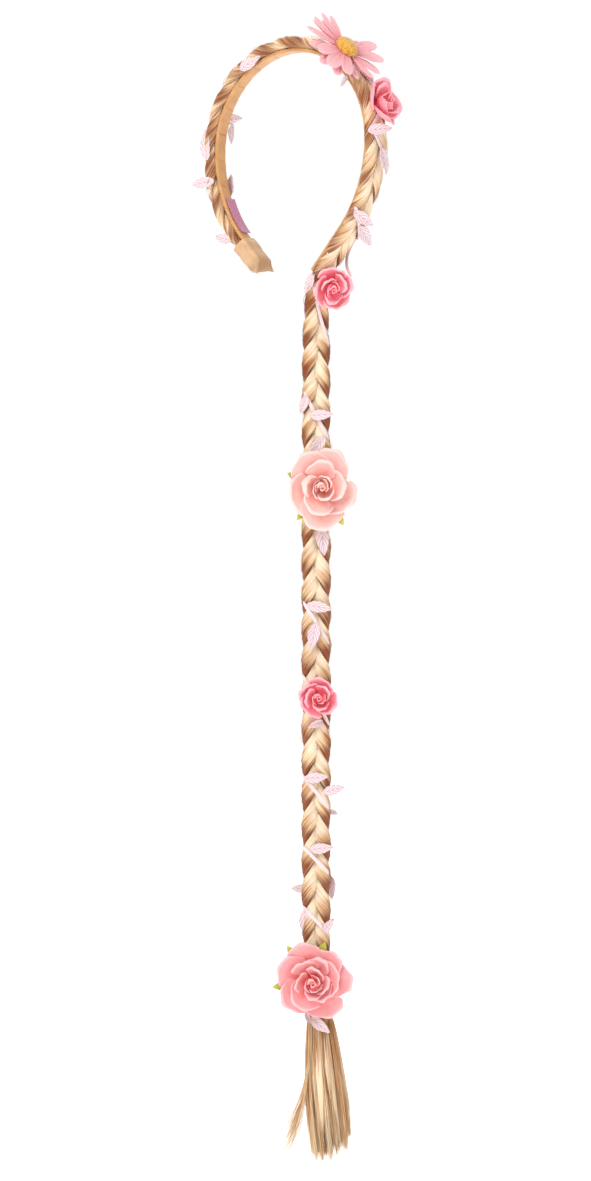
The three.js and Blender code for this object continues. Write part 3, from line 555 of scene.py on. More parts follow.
def loose_fibres():
    """Single hairs that stand a little off the strands: each follows its strand for a while, drifting slowly
    across it and lifted most in the middle. The braid's core goes with them."""
    COUNT, POINTS, RADIUS, SHORTEST, LONGEST = 420, 26, 0.12, 14, 40
    CLEAR_START, CLEAR_END, PLACE, DRIFT, OFF = 20, 12, 0.95, 0.25, 1.1
    LOOSE_SHADE_SHARE, CORE_SHADE, APART = 0.8, 0.55, 1.7
    length = draws.uniform(SHORTEST, LONGEST, COUNT)
    first = draws.uniform(BRAID_START + CLEAR_START, braid_line.length - CLEAR_END - length, COUNT)
    part = np.linspace(0, 1, POINTS)
    along = first[:, None] + length[:, None] * part
    place = draws.uniform(-PLACE, PLACE, COUNT)[:, None] + draws.uniform(-DRIFT, DRIFT, COUNT)[:, None] * part
    side = draws.choice([-1.0, 1.0], COUNT)[:, None]
    lift = STRAND_HALF * braid_size(along)[1] * np.sqrt(np.clip(1 - place ** 2, 0.02, 1))
    lift = side * (lift + draws.uniform(0, OFF, COUNT)[:, None] * np.sin(np.pi * part))
    groups = [strand_surface(along[k::3], k, place[k::3], lift[k::3]) for k in range(3)]
    tubes = fibre_tubes(np.concatenate([points for points, _ in groups]), RADIUS)
    phases = np.concatenate([phase for _, phase in groups])
    rows = np.concatenate([along[k::3] for k in range(3)])
    uv = stacked(np.arange(COUNT)[:, None, None] * APART + np.zeros(4), rows[..., None])
    core, core_uv = braid_core()
    made = make_piece("loose_hairs", [(tubes, uv), (core, core_uv)], braid_hair)
    # Painted shade on the loose hairs, a little weaker than on the strands, and an even share of painted half shade
    # on the core.
    shade = np.repeat(LOOSE_SHADE_SHARE * painted_shade_share(rows, phases)[..., None], 3, -1)
    keep_value(made, "painted_shade_share", np.r_[shade.ravel(), np.full(core.size // 3, CORE_SHADE)])


loose_fibres()

# End sleeve and label
# A sewn satin tube closes the left end over band and braid, pinched flat at its tip. A mauve cloth label is glued
# to the band's inner face above it; it is left bare.
SLEEVE_ALONG = np.array([-3, 1.5, 9, 20.5])
SLEEVE_WIDTH = np.array([14.2, 13.0, 13.8, 14.4])
SLEEVE_THICK = np.array([1.6, 11.6, 12.6, 13.0])
SLEEVE_OUT = np.array([4.2, 4.4, 4.5, 4.7])


def sleeve_piece():
    """Rounded sections between the table's rows from the mouth to the tip, with soft pleats that deepen towards the
    tip, which is rolled a little about the braid's line, pressed flat, and reaches further at its corners. The
    inner wall runs back inside, one wall's thickness in."""
    STATIONS, SIDES, WALL, FLARE, SQUARENESS, PLEAT, ROLL, DRAWN = 90, 132, 0.7, 2.6, 0.62, 0.3, 0.26, 0.14
    CLOSE_FROM, CLOSE_OVER, FLARE_FROM, FLARE_OVER, THINNEST = 9, 13.5, -1, 3.5, 0.05
    ABOUT, INNER_APART, NO_LAP, NO_ROUND = 44, 40, 90.0, 1e4
    along = np.linspace(SLEEVE_ALONG[-1], SLEEVE_ALONG[0], STATIONS)
    turn = circle(SIDES)
    c, s = rounded(turn, SQUARENESS)
    width, thick, middle = (np.interp(along, SLEEVE_ALONG, table)[:, None]
                            for table in (SLEEVE_WIDTH, SLEEVE_THICK, SLEEVE_OUT))
    closing = np.clip((CLOSE_FROM - along) / CLOSE_OVER, 0, 1)[:, None]
    pleats = np.sin(5 * turn + 0.12 * along[:, None]) + 0.5 * np.sin(8 * turn - 0.2 * along[:, None] + 1)
    drawn = DRAWN * np.sin(0.55 * along[:, None] + 2.0 * np.sin(turn)[None] + 1.1)
    frames = braid_line.frames(along)
    walls = []
    for inset in (0.0, WALL):
        grow = PLEAT * np.sin(np.pi * closing) * pleats + drawn * (1 - closing) - inset
        across = (width / 2 + grow) * c
        high = np.maximum(thick / 2 + grow, THINNEST)
        out = middle - BRAID_OUT + high * s - ROLL * closing ** 2 * across
        tip = FLARE * np.clip((FLARE_FROM - along) / FLARE_OVER, 0, 1)[:, None] * np.abs(c)[None] ** 3
        walls.append(swept(frames, across, out) - tip[..., None] * frames[1][:, None])
    grid = np.concatenate([walls[0], walls[1][::-1], walls[0][:1]])
    rows = np.concatenate([along, along[::-1] + INNER_APART, along[:1]])
    satin = satin_material("sleeve_satin", tone(196, 152, 110), tone(217, 179, 139), (0.42, 0.56), NO_LAP, NO_ROUND)
    make_piece("satin_sleeve", [(grid, ring_uv(rows, np.linspace(0, ABOUT, SIDES + 1)))], satin,
               ["end_sleeve"])


sleeve_piece()


def shell(sheet, thickness):
    """A thin closed wall round an open sheet of points [..., row, column, xyz]: its two faces stand half the
    thickness off it along its normals, joined round the columns and drawn together at the first and last row."""
    normal = unit(np.cross(np.gradient(sheet, axis=-3), np.gradient(sheet, axis=-2)))
    half = np.full(sheet.shape[-3], thickness / 2)
    half[[0, -1]] = 0
    step = normal * half[:, None, None]
    return np.concatenate([sheet + step, (sheet - step)[..., ::-1, :]], -2)


def shell_uv(u, v):
    """UV for a shell: the sheet's own u and v on the upper face, and mirrored on the lower one."""
    pair = stacked(u, v)
    looped = np.concatenate([pair, pair[..., ::-1, :]], -2)
    return np.concatenate([looped, looped[..., :1, :]], -2)


def walled(sheet, u, v, thickness):
    """A shell with its UV, as one grid of a piece."""
    return shell(sheet, thickness), shell_uv(u, v)


def label_piece():
    """A strip on the arm's arc, just inside the band's inner face, with its corners lifted a little."""
    ROWS, COLUMNS, WIDTH, THICKNESS, LIFT, ASIDE = 40, 18, 7.8, 0.45, 0.35, 1.2
    TOP, BOTTOM = np.radians(21.5), np.radians(40.5)
    angle = np.linspace(TOP, BOTTOM, ROWS)[:, None]
    along = np.linspace(-1, 1, ROWS)[:, None]
    u = np.linspace(-1, 1, COLUMNS)[None]
    y = WIDTH / 2 * u + ASIDE
    lifted = LIFT * (np.abs(along) ** 6 + np.abs(u) ** 8) / 2
    radius = ARM_RADIUS - SEAT_GAP - THICKNESS / 2 - lifted
    x = ARM_RADIUS - CROWN_HALF_WIDTH - radius * np.cos(angle)
    z = -CROWN_RISE - radius * np.sin(angle)
    sheet = stacked(x, y, z)
    made, tree, shader = new_material("label_cloth", {"Sheen Weight": 0.3})
    uv = coordinates(tree, "UV")
    weft = stretched_noise(tree, uv, (0.6, 9.0, 1.0), 2.0)
    warp = stretched_noise(tree, uv, (9.0, 0.6, 1.0), 2.0)
    both = mean_of(tree, weft, warp)
    shade = mixed(tree, spread(tree, both, 0.36, 0.64), tone(168, 96, 130), tone(208, 138, 170))
    finish_surface(tree, shader, shade, both, 0.4, 0.0002, (0.48, 0.62))
    make_piece("bare_label", [walled(sheet, y, angle * ARM_RADIUS, THICKNESS)], made, ["label"])


label_piece()

# Leaf ribbon
# A narrow pale pink ribbon with woven leaves along it, wound round the braid and stitched down at its turns. The
# leaves are one piece with the stem, ribbed with a deeper weave and slightly curled.
STEM_CLEARANCE = 1.2
STEM_SINK = 1.3
LEAF_SINK = 0.3
LEAF_WALL = 0.5
OUTLINE_POWER = 4
CAD_STATIONS = np.array([0, 0.08, 0.5, 0.92])
LEAF_WIDTH = 7.0
FRONT, BACK, OVER, THROUGH, BEHIND = -1, 1, 1, 0, -1
BAND_TURNS = np.array([
    (22, FRONT, OVER), (44, BACK, OVER), (63, FRONT, OVER), (105, BACK, OVER), (148, FRONT, THROUGH),
    (192, BACK, THROUGH), (240, FRONT, OVER), (270, BACK, OVER), (289, FRONT, OVER), (310, BACK, THROUGH),
    (338, FRONT, OVER), (358, BACK, THROUGH), (374, FRONT, OVER)], float)
TAIL_TURNS = np.array([
    (146, FRONT, OVER), (184, BACK, BEHIND), (212, FRONT, OVER), (242, BACK, BEHIND), (256, FRONT, OVER),
    (299, BACK, BEHIND), (342, FRONT, OVER), (368, BACK, BEHIND), (388, FRONT, OVER), (418, BACK, BEHIND),
    (450, FRONT, OVER), (470, BACK, BEHIND), (494, FRONT, OVER), (510, BACK, BEHIND), (531, FRONT, OVER),
    (548, BACK, BEHIND), (562, FRONT, OVER), (588, BACK, OVER)], float)
# Leaves: place, length, the parts of the direction onward, across and out, and a move of the base across and out
BAND_LEAVES = np.array([
    (109, 20, 0.2, 0.95, 0, -2.2, 0),
    (243, 11, 0.5, -0.5, -0.7, 0, 0), (290, 16, -0.1, 0.75, 0.5, -3.6, -1.2), (299, 17, 0.9, 0.1, 0.3, -0.4, -0.6),
    (340, 16, 0.25, 0.7, 0.5, -2.6, -0.8), (352, 16.6, 0.55, 0.75, 0.45, -0.6, -0.8)])
TAIL_LEAVES = np.array([
    (215, 12, 0.9, -0.3, 0.15, 1.5, 0), (225, 15, -0.06, 0.95, 0.2, -4.4, 0), (236, 16, 0.8, -0.6, 0.2, -2, 0),
    (296, 18, 0.95, 0.1, 0.2, -4.5, 0), (345, 16, 0.15, 0.95, 0.25, 1.7, 0), (356, 17, 0.95, -0.2, 0.2, 0, 0),
    (415, 10, 0.4, -0.85, 0.2, -3.5, 0), (452, 15, -0.1, 0.95, 0.25, 0, 0), (463, 14, -0.25, 0.95, 0.25, 4.2, 0),
    (476, 6.5, 0.3, 0.9, -0.2, 0, 0), (498, 15, -0.1, 0.95, 0.25, 3.4, 0), (512, 15, 0.95, 0.12, 0.1, 0.4, 0.3),
    (523, 12, 0, -1, -0.2, -4, 0), (532, 17, 0.97, 0.02, -0.1, 0.6, 0), (544, 11, -0.8, 0.6, 0.2, -3.2, 0)])
# Leaves off the stem: distance along, across, out, length, the parts of the direction, and 1 where it faces forward
FREE_LEAVES = np.array([
    (27, -5, 0.8, 14, 0.8, -0.1, 0.6, 1), (68.5, -7, -4.6, 16, 0.1, -0.3, 0.95, 1),
    (83, -7.9, -1.2, 20, 0.98, -0.05, 0.06, 1), (149, -7.6, -2.6, 17.5, 0.96, -0.03, -0.18, 1),
    (59, 7.4, -2.8, 15.5, 0.97, 0.14, -0.16, 1), (108.3, 14.5, 0, 12.5, -0.97, 0.1, -0.05, 0),
    (388, -8.3, -0.5, 14.5, 0.97, -0.05, 0, 1), (along_at(599), -4, 5.2, 15.5, 0.6, 0.8, 0.28, 0),
    (250, -7, -3.4, 8, 0.1, -0.1, -0.95, 1), (along_at(596), -6.4, 4.6, 7.5, 0.8, 0.3, 0.2, 0)])
# The slack stretch beside the second small rose, as the four corners of a cubic curve in the part's frame
SLACK = np.array([(42.5, 10, -116), (32, 14.5, -124), (31.6, 8.5, -133), (41.9, 6.4, -141.7)])


def ribbon_route(turns, stations, sink):
    """Places on the braid's rounded outline, x^p + y^p = 1, where x goes in straight lines from turn to turn, sunk
    a little into the hair; also the outline's outward direction there and the distance along."""
    here, ahead = turns[:-1], turns[1:]
    along = (here[:, :1] + (ahead[:, :1] - here[:, :1]) * stations).ravel()
    x = (here[:, 1:2] + (ahead[:, 1:2] - here[:, 1:2]) * stations).ravel()
    over = np.repeat(here[:, 2], len(stations))
    arch = (1 - np.abs(x) ** OUTLINE_POWER) ** (1 / OUTLINE_POWER)
    centre, onward, out, across = braid_frames(along)
    width, thick = braid_size(along)
    off = STEM_CLEARANCE - sink
    place = centre + (x * (width / 2 + off))[:, None] * across + (over * arch * (thick / 2 + off))[:, None] * out
    facing = (x ** 3)[:, None] * across + (np.where(over < 0, -1, 1) * arch ** 3)[:, None] * out
    return along, place, unit(facing), (onward, across, out)


def sheet_axes(rows, columns):
    """Shares of the length, 0 to 1 down the rows, and of the half width, -1 to 1 along the columns."""
    return np.linspace(0, 1, rows)[:, None], np.linspace(-1, 1, columns)[None]


def leaf_sheets(base, length, parts, onward, across, out, front):
    """Each leaf is a pointed oval: its half width goes as the sine of its length to the power 0.8, leaning to the
    stalk. It is folded along its rib, curls towards its tip and has a wavy edge. It faces out, or forward where
    it is said to or points out steeply."""
    ROWS, COLUMNS, FOLD, CURL, WAVE, STEEP = 26, 15, 0.9, 0.1, 0.35, 0.75
    LEAN, BLUNT, STALK, USUAL_LENGTH, WIDEST = 0.8, 0.8, 0.05, 16, 1.1
    pointing = unit(parts[:, 0:1] * onward + parts[:, 1:2] * across + parts[:, 2:3] * out)
    forward = (np.abs((pointing * out).sum(1)) > STEEP) | (front > 0)
    facing = np.where(forward[:, None], -across, out)
    facing = unit(facing - (facing * pointing).sum(1, keepdims=True) * pointing)
    side = np.cross(pointing, facing)
    number = np.arange(len(length))[:, None, None]
    part, u = sheet_axes(ROWS, COLUMNS)
    half = LEAF_WIDTH / 2 * np.clip(np.sin(np.pi * part ** LEAN), STALK, 1) ** BLUNT
    size = (length / USUAL_LENGTH)[:, None, None]
    ahead = length[:, None, None] * part[None]
    wave = WAVE * np.sin(9 * part + 2.2 * number) * u ** 2
    lift = FOLD * (np.abs(u) ** 1.5 - 0.4) * half / LEAF_WIDTH * 2 - CURL * ahead * part + wave * size
    wide = half * u * np.minimum(size, WIDEST)
    sheet = (base[:, None, None] + ahead[..., None] * pointing[:, None, None]
             + wide[..., None] * side[:, None, None] + lift[..., None] * facing[:, None, None])
    return sheet, *np.broadcast_arrays(u, part + 2.0 * number)


def ribbon_material(name):
    """Woven ribbon: pale pink with a raised rib and slanting veins of a deeper pink on the leaves, over fine
    threads. The stem's u lies past the leaves', so it has the threads alone."""
    VEIN_TURNS, VEIN_SLANT = 30.0, -12.3
    made, tree, shader = new_material(name, {"Sheen Weight": 0.25})
    uv = coordinates(tree, "UV")
    parts = axes_of(tree, uv)
    across = sums(tree, "ABSOLUTE", parts["X"])
    slant = sums(tree, "MULTIPLY", across, VEIN_SLANT)
    wave = sums(tree, "SINE", sums(tree, "MULTIPLY_ADD", parts["Y"], VEIN_TURNS, slant))
    line = spread(tree, wave, 0.1, 0.95)
    rib = spread(tree, across, 0.02, 0.12, 1.0, 0.0)
    on_leaf = spread(tree, across, 1.2, 1.6, 1.0, 0.0)
    marks = sums(tree, "MULTIPLY", sums(tree, "MAXIMUM", line, rib), on_leaf)
    threads = stretched_noise(tree, uv, (14.0, 30.0, 1.0), 2.0)
    worn = sums(tree, "MULTIPLY", sums(tree, "MAXIMUM", marks, 0.25), threads)
    shade = mixed(tree, spread(tree, worn, 0.05, 0.6), tone(240, 220, 221), tone(188, 144, 156))
    finish_surface(tree, shader, shade, worn, 0.5, 0.0003, (0.46, 0.6))
    return made


ribbon = ribbon_material("leaf_ribbon_weave")


def stem_grid(place, facing):
    """A flat oval swept along a route and drawn to a point at both ends, with a shallow groove along its middle."""
    SIDES, HALF_WIDE, HALF_DEEP, GROOVE, TIP, PAST_LEAVES, UV_STEP = 16, 1.15, 0.38, 0.22, 2, 3, 0.05
    side = unit(np.cross(np.gradient(place, axis=0), facing))
    turn = circle(SIDES)
    walked = np.r_[0, np.cumsum(np.linalg.norm(np.diff(place, axis=0), axis=1))]
    count = np.arange(len(place))
    tip = np.clip(np.minimum(count, count[::-1]) / TIP, 0, 1)[:, None]
    deep = HALF_DEEP * np.sin(turn) * (1 - GROOVE * np.sin(turn) ** 8)
    stem = (place[:, None] + (tip * HALF_WIDE * np.cos(turn))[..., None] * side[:, None]
            + (tip * deep)[..., None] * facing[:, None])
    return stem, ring_uv(walked * UV_STEP, np.linspace(PAST_LEAVES, PAST_LEAVES + 1, SIDES + 1))


def vine_piece(name, node, turns, leaves):
    """The stem along its route, and the shells of the leaves that grow at the nearest of the stem's stations."""
    STATIONS = 36
    _, place, facing, _ = ribbon_route(turns, np.linspace(0, 1, STATIONS, endpoint=False), STEM_SINK)
    along, base, _, axes = ribbon_route(turns, CAD_STATIONS, LEAF_SINK)
    nearest = np.abs(along[None] - leaves[:, :1]).argmin(1)
    onward, across, out = (axis[nearest] for axis in axes)
    base = base[nearest] + leaves[:, 5:6] * across + leaves[:, 6:7] * out
    sheets = leaf_sheets(base, leaves[:, 1], leaves[:, 2:5], onward, across, out, 0 * leaves[:, 0])
    make_piece(name, [stem_grid(place, facing), walled(*sheets, LEAF_WALL)], ribbon, [node])


def on_tail(rows):
    """Table rows whose first column is a drop below the crown, with the distance along the braid in its place."""
    return np.column_stack([along_at(rows[:, 0]), rows[:, 1:]])


def free_leaves():
    """Leaves whose ribbon lies under the hair or a flower, at their own places about the braid's line, and the slack
    stretch of ribbon, a cubic curve that faces back."""
    POINTS, SHARES = 30, (1, 3, 3, 1)
    part = np.linspace(0, 1, POINTS)[:, None]
    slack = sum(share * (1 - part) ** (3 - k) * part ** k * SLACK[k] for k, share in enumerate(SHARES))
    facing = np.array([0.0, 1.0, 0.0]) + 0 * slack
    centre, onward, out, across = braid_frames(FREE_LEAVES[:, 0])
    base = centre + FREE_LEAVES[:, 1:2] * across + FREE_LEAVES[:, 2:3] * out
    sheets = leaf_sheets(base, FREE_LEAVES[:, 3], FREE_LEAVES[:, 4:7], onward, across, out, FREE_LEAVES[:, 7])
    make_piece("free_leaves", [walled(*sheets, LEAF_WALL), stem_grid(slack, facing)], ribbon)


vine_piece("band_leaf_ribbon", "band_vine", BAND_TURNS, BAND_LEAVES)
vine_piece("tail_leaf_ribbon", "tail_vine", on_tail(TAIL_TURNS), on_tail(TAIL_LEAVES))
free_leaves()

# Daisy
# Two rings of narrow pink cloth petals, pressed with long creases, and a domed yellow centre of flocked foam. It is
# stitched to the ribbon over the braid beside the crown.
STEM_THICKNESS = 0.8
PETAL_WALL = 0.4
FULL_LENGTH = 0.98


def flower_frame(along, across, turned, tilted, stand):
    """A flower's foot and its three axes: the braid's frame, turned towards the front about the braid's line, moved
    out to stand on the ribbon, and then tilted onward."""
    centre, onward, out, sideways = (v[0] for v in braid_frames(np.array([along])))
    turned, tilted = np.radians(turned), np.radians(tilted)
    out, sideways = (out * np.cos(turned) - sideways * np.sin(turned),
                     sideways * np.cos(turned) + out * np.sin(turned))
    off = braid_size(along)[1] / 2 + STEM_CLEARANCE + STEM_THICKNESS / 2 + stand
    foot = centre + across * sideways + off * out
    out, onward = out * np.cos(tilted) + onward * np.sin(tilted), onward * np.cos(tilted) - out * np.sin(tilted)
    return foot, np.stack([sideways, -onward, out])


def placed(points, foot, axes):
    """Points of a flower, which is made facing +Z, in the part's frame."""
    return foot + points @ axes


def petal_shade_group():
    """A petal's colour: painted shade deep at its root, through a middle shade, to a pale rim that is partly the
    cloth's own paler edge and partly painted highlight, the change blurred by a mottle.
    """
    group, given, result = new_group("petal_shade", {
        "Part": "Float", "Mottle": "Float", "Painted_root_shade": "Color", "Middle": "Color", "Rim_tone_and_highlight": "Color"}, {"Shade": "Color"})
    blurred = sums(group, "ADD", given["Part"], spread(group, given["Mottle"], 0.0, 1.0, -0.15, 0.15))
    lower = mixed(group, spread(group, blurred, 0.08, 0.46), given["Painted_root_shade"], given["Middle"])
    group.links.new(mixed(group, spread(group, blurred, 0.5, 0.95), lower, given["Rim_tone_and_highlight"]), result["Shade"])
    return group


PETAL_SHADE = petal_shade_group()


def petal_material(name, deep, middle, rim):
    """Petal cloth: painted shade at its root and a pale rim with painted highlight, mottled, with fine creases that
    run up the petal.
    """
    made, tree, shader = new_material(name, {"Sheen Weight": 0.3, "Sheen Roughness": 0.5})
    uv = coordinates(tree, "UV")
    creases = stretched_noise(tree, uv, (5.0, 0.7, 1.0), 3.0)
    mottle = stretched_noise(tree, coordinates(tree, "Object"), (260.0, 260.0, 260.0), 3.0)
    part = sums(tree, "FRACT", axes_of(tree, uv)["Y"])
    shade = grouped(tree, PETAL_SHADE, {
        "Part": part, "Mottle": mottle, "Painted_root_shade": deep, "Middle": middle, "Rim_tone_and_highlight": rim})
    finish_surface(tree, shader, shade, mean_of(tree, creases, mottle), 0.45, 0.0006, (0.62, 0.78))
    return made


# Petals: direction in degrees, reach, half width and rise at the tip
UPPER_PETALS = np.array([
    (5, 28, 4.3, 2), (82, 25.5, 2.6, 2), (98, 27.5, 2.5, 2), (121, 27, 2.8, 2), (147, 26.5, 3.2, 1.5),
    (183, 26, 4.8, 0), (212, 27, 5.4, -1), (240, 25, 5, 0), (283, 26, 2.6, 1), (302, 26, 2.6, 2), (340, 28, 4.4, 2)])
LOWER_PETALS = np.array([
    (22, 26, 3.2, -3), (90, 26, 2.4, -1), (110, 27, 2.4, -1), (134, 27, 2.8, -1), (165, 26, 3.6, -1.5),
    (198, 27, 4.2, -2), (226, 26, 4.2, -2), (262, 24, 2.6, 0), (292, 26, 2.6, -0.5), (320, 26, 3.4, 0),
    (352, 28.5, 4.3, 0)])


def round_axis(length, aside, angle, height):
    """Points at a length from a flower's axis in a direction, moved aside of it, at a height."""
    c, s = np.cos(angle), np.sin(angle)
    return stacked(length * c - aside * s, length * s + aside * c, height)


def petal_uv(count, part, u):
    """UV of petals side by side: each petal's own columns, and its length to just under one."""
    APART = 3.0
    return np.broadcast_arrays(u + APART * np.arange(count)[:, None, None], FULL_LENGTH * part)


def daisy_ring(petals, foot):
    """Petals as sheets: half width grows to two thirds of the length and closes in a blunt tip; three long creases, a
    cup across, and a rise that grows as the square of the length."""
    ROWS, COLUMNS, ROOT, CREASE, CUP, SWAY, LIFT = 30, 13, 2.5, 0.26, 0.12, 0.8, 0.5
    WIDTH_AT, WIDTH_SHARE = [0, 0.25, 0.62, 0.86, 0.95, 1], [0.3, 0.55, 1, 0.8, 0.5, 0.12]
    angle, reach, wide, rise = petals.T[:, :, None, None]
    number = np.arange(len(petals))[:, None, None]
    part, u = sheet_axes(ROWS, COLUMNS)
    half = wide * np.interp(part, WIDTH_AT, WIDTH_SHARE)
    aside = half * u + SWAY * np.sin(1.7 * number) * part ** 2
    crease = CREASE * np.cos(3 * np.pi * u) + CUP * wide * u ** 2
    height = foot + LIFT + rise * part ** 2 + crease * np.sin(np.pi * part)
    sheet = round_axis(ROOT + (reach - ROOT) * part, aside, np.radians(angle), height)
    return sheet, *petal_uv(len(petals), part, u)


daisy_foot, daisy_axes = flower_frame(237, -7.3, 6, 14, 0.5)
# Its first tone is painted shade at the petals' roots and its last a paler rim with painted highlight.
daisy_cloth = petal_material("daisy_cloth", tone(226, 126, 134), tone(244, 170, 176), tone(250, 194, 198))
for ring, petals, foot in (("lower", LOWER_PETALS, 0.6), ("upper", UPPER_PETALS, 2.4)):
    wall, uv = walled(*daisy_ring(petals, foot), PETAL_WALL)
    make_piece(f"daisy_{ring}_petals", [(placed(wall, daisy_foot, daisy_axes), uv)], daisy_cloth,
               [f"daisy_petals_{ring}"])


def daisy_centre():
    """A dome whose surface is covered in small knobs, set on a spiral of the golden angle, as flocking clumps."""
    ROWS, SIDES, RADIUS, HEIGHT, FOOT, KNOB, KNOBS, KNOB_EDGE = 60, 120, 7.4, 5.2, 3.8, 0.28, 190, 0.0045
    tilt = np.linspace(0, np.pi / 2, ROWS)[:, None]
    turn = circle(SIDES)[None]
    spot = np.arange(KNOBS) + 0.5
    spot_tilt = np.arcsin(np.sqrt(spot / KNOBS))
    spot_turn = spot * np.pi * (3 - np.sqrt(5))

    def on_dome(tilt, turn):
        return round_axis(np.sin(tilt), 0, turn, np.cos(tilt))

    surface = on_dome(tilt, turn)
    near = (surface @ on_dome(spot_tilt, spot_turn).T).max(-1)
    knob = 1 + KNOB / RADIUS * np.clip((near - 1 + KNOB_EDGE) / KNOB_EDGE, 0, 1) ** 0.5
    dome = surface * knob[..., None] * np.array([RADIUS, RADIUS, HEIGHT]) + np.array([0, 0, FOOT])
    grid = np.concatenate([dome, dome[-1:] * np.array([0, 0, 1])])
    made, tree, shader = new_material("flocked_foam", {"Sheen Weight": 0.6, "Sheen Roughness": 0.6})
    grains = stretched_noise(tree, coordinates(tree, "Object"), (900.0, 900.0, 900.0), 4.0)
    shade = mixed(tree, spread(tree, grains, 0.3, 0.7), tone(188, 112, 4), tone(244, 192, 36))
    finish_surface(tree, shader, shade, grains, 0.7, 0.0006, (0.82, 0.95))
    uv = ring_uv(np.linspace(0, 1, len(grid)), np.linspace(0, 1, SIDES + 1))
    make_piece("daisy_dome", [(placed(grid, daisy_foot, daisy_axes), uv)], made, ["daisy_centre"])


daisy_centre()

# Roses
# Cloth roses: a crumpled heart in a cup of small petals, and rings of shaped petals round it with rims turned
# outwards. The large ones have yellow-green sepals under them. All are stitched to the ribbon over the braid.
# Petals: direction in degrees, the rim's radius and height, half the spread in degrees, the rim's bend and its flap
CLOSED_ROSE = {
    "outer_petals": (2.6, [
        (120, 22.5, 7.5, 50, 70, 1), (60, 22.5, 8, 47, 70, 1), (-28, 20.5, 8.5, 47, 80, 1.4),
        (-100, 23.5, 7.5, 50, 75, 1), (190, 20.5, 8, 48, 85, 1.2)]),
    "middle_petals": (4.2, [
        (168, 9.8, 14, 46, 128, 3.6), (240, 14.5, 12, 60, 85, 1.2), (8, 13.2, 13, 58, 100, 1.8),
        (85, 15, 12.5, 50, 90, 1.2)]),
    "inner_petals": (5.8, [
        (190, 5.8, 16, 75, 60, 0.6), (50, 6.2, 16.5, 66, 80, 0.8), (-60, 6.8, 15.5, 72, 90, 1)]),
    "bud": (7.4, [(150, 3.6, 16.6, 70, 55, 0.4), (20, 3.9, 17, 66, 70, 0.5)])}
OPEN_ROSE = {
    "outer_petals": (2.6, [
        (150, 21.5, 6.5, 42, 60, 0.8), (97, 23, 7, 40, 60, 0.8), (47, 21, 8, 36, 70, 1), (-4, 22.5, 6.5, 36, 60, 0.8),
        (-68, 22.5, 6.5, 44, 60, 0.8), (214, 20.5, 7, 46, 65, 1)]),
    "middle_petals": (4.2, [
        (112, 13.5, 12, 44, 80, 1.2), (66, 14, 12.5, 38, 90, 1.4), (0, 15.5, 12, 52, 75, 1),
        (-52, 11.5, 13, 46, 80, 1), (232, 15.5, 11.5, 58, 70, 1)]),
    "inner_petals": (5.8, [
        (170, 9.5, 15, 46, 70, 1), (70, 8.2, 16, 52, 85, 1.2), (-20, 8.6, 16, 50, 80, 1),
        (-95, 8.4, 15.5, 48, 80, 1)]),
    "bud": (7.4, [(190, 4.4, 16.8, 75, 60, 0.5), (40, 4.2, 17.2, 70, 60, 0.5), (-70, 4.8, 16.5, 60, 60, 0.5)])}
SMALL_ROSE = {
    "outer_petals": (0.6, [
        (100, 11, 8.5, 58, 75, 1), (20, 10.2, 9.2, 50, 90, 1.3), (-60, 10.8, 8.5, 56, 75, 1),
        (200, 10.4, 8.8, 60, 80, 1)]),
    "inner_petals": (2.2, [
        (150, 6.2, 11.6, 62, 80, 1), (40, 7, 11, 54, 95, 1.3), (-80, 6.6, 11.4, 64, 75, 0.9)]),
    "bud": (3.4, [(190, 3.4, 12, 75, 50, 0.4), (50, 3.3, 12.3, 70, 60, 0.4)])}
LARGE_HEART = dict(radius=3.3, foot=13.2, height=4)
SMALL_HEART = dict(radius=2.7, foot=8.4, height=4)
ROSE_WALL = 0.34


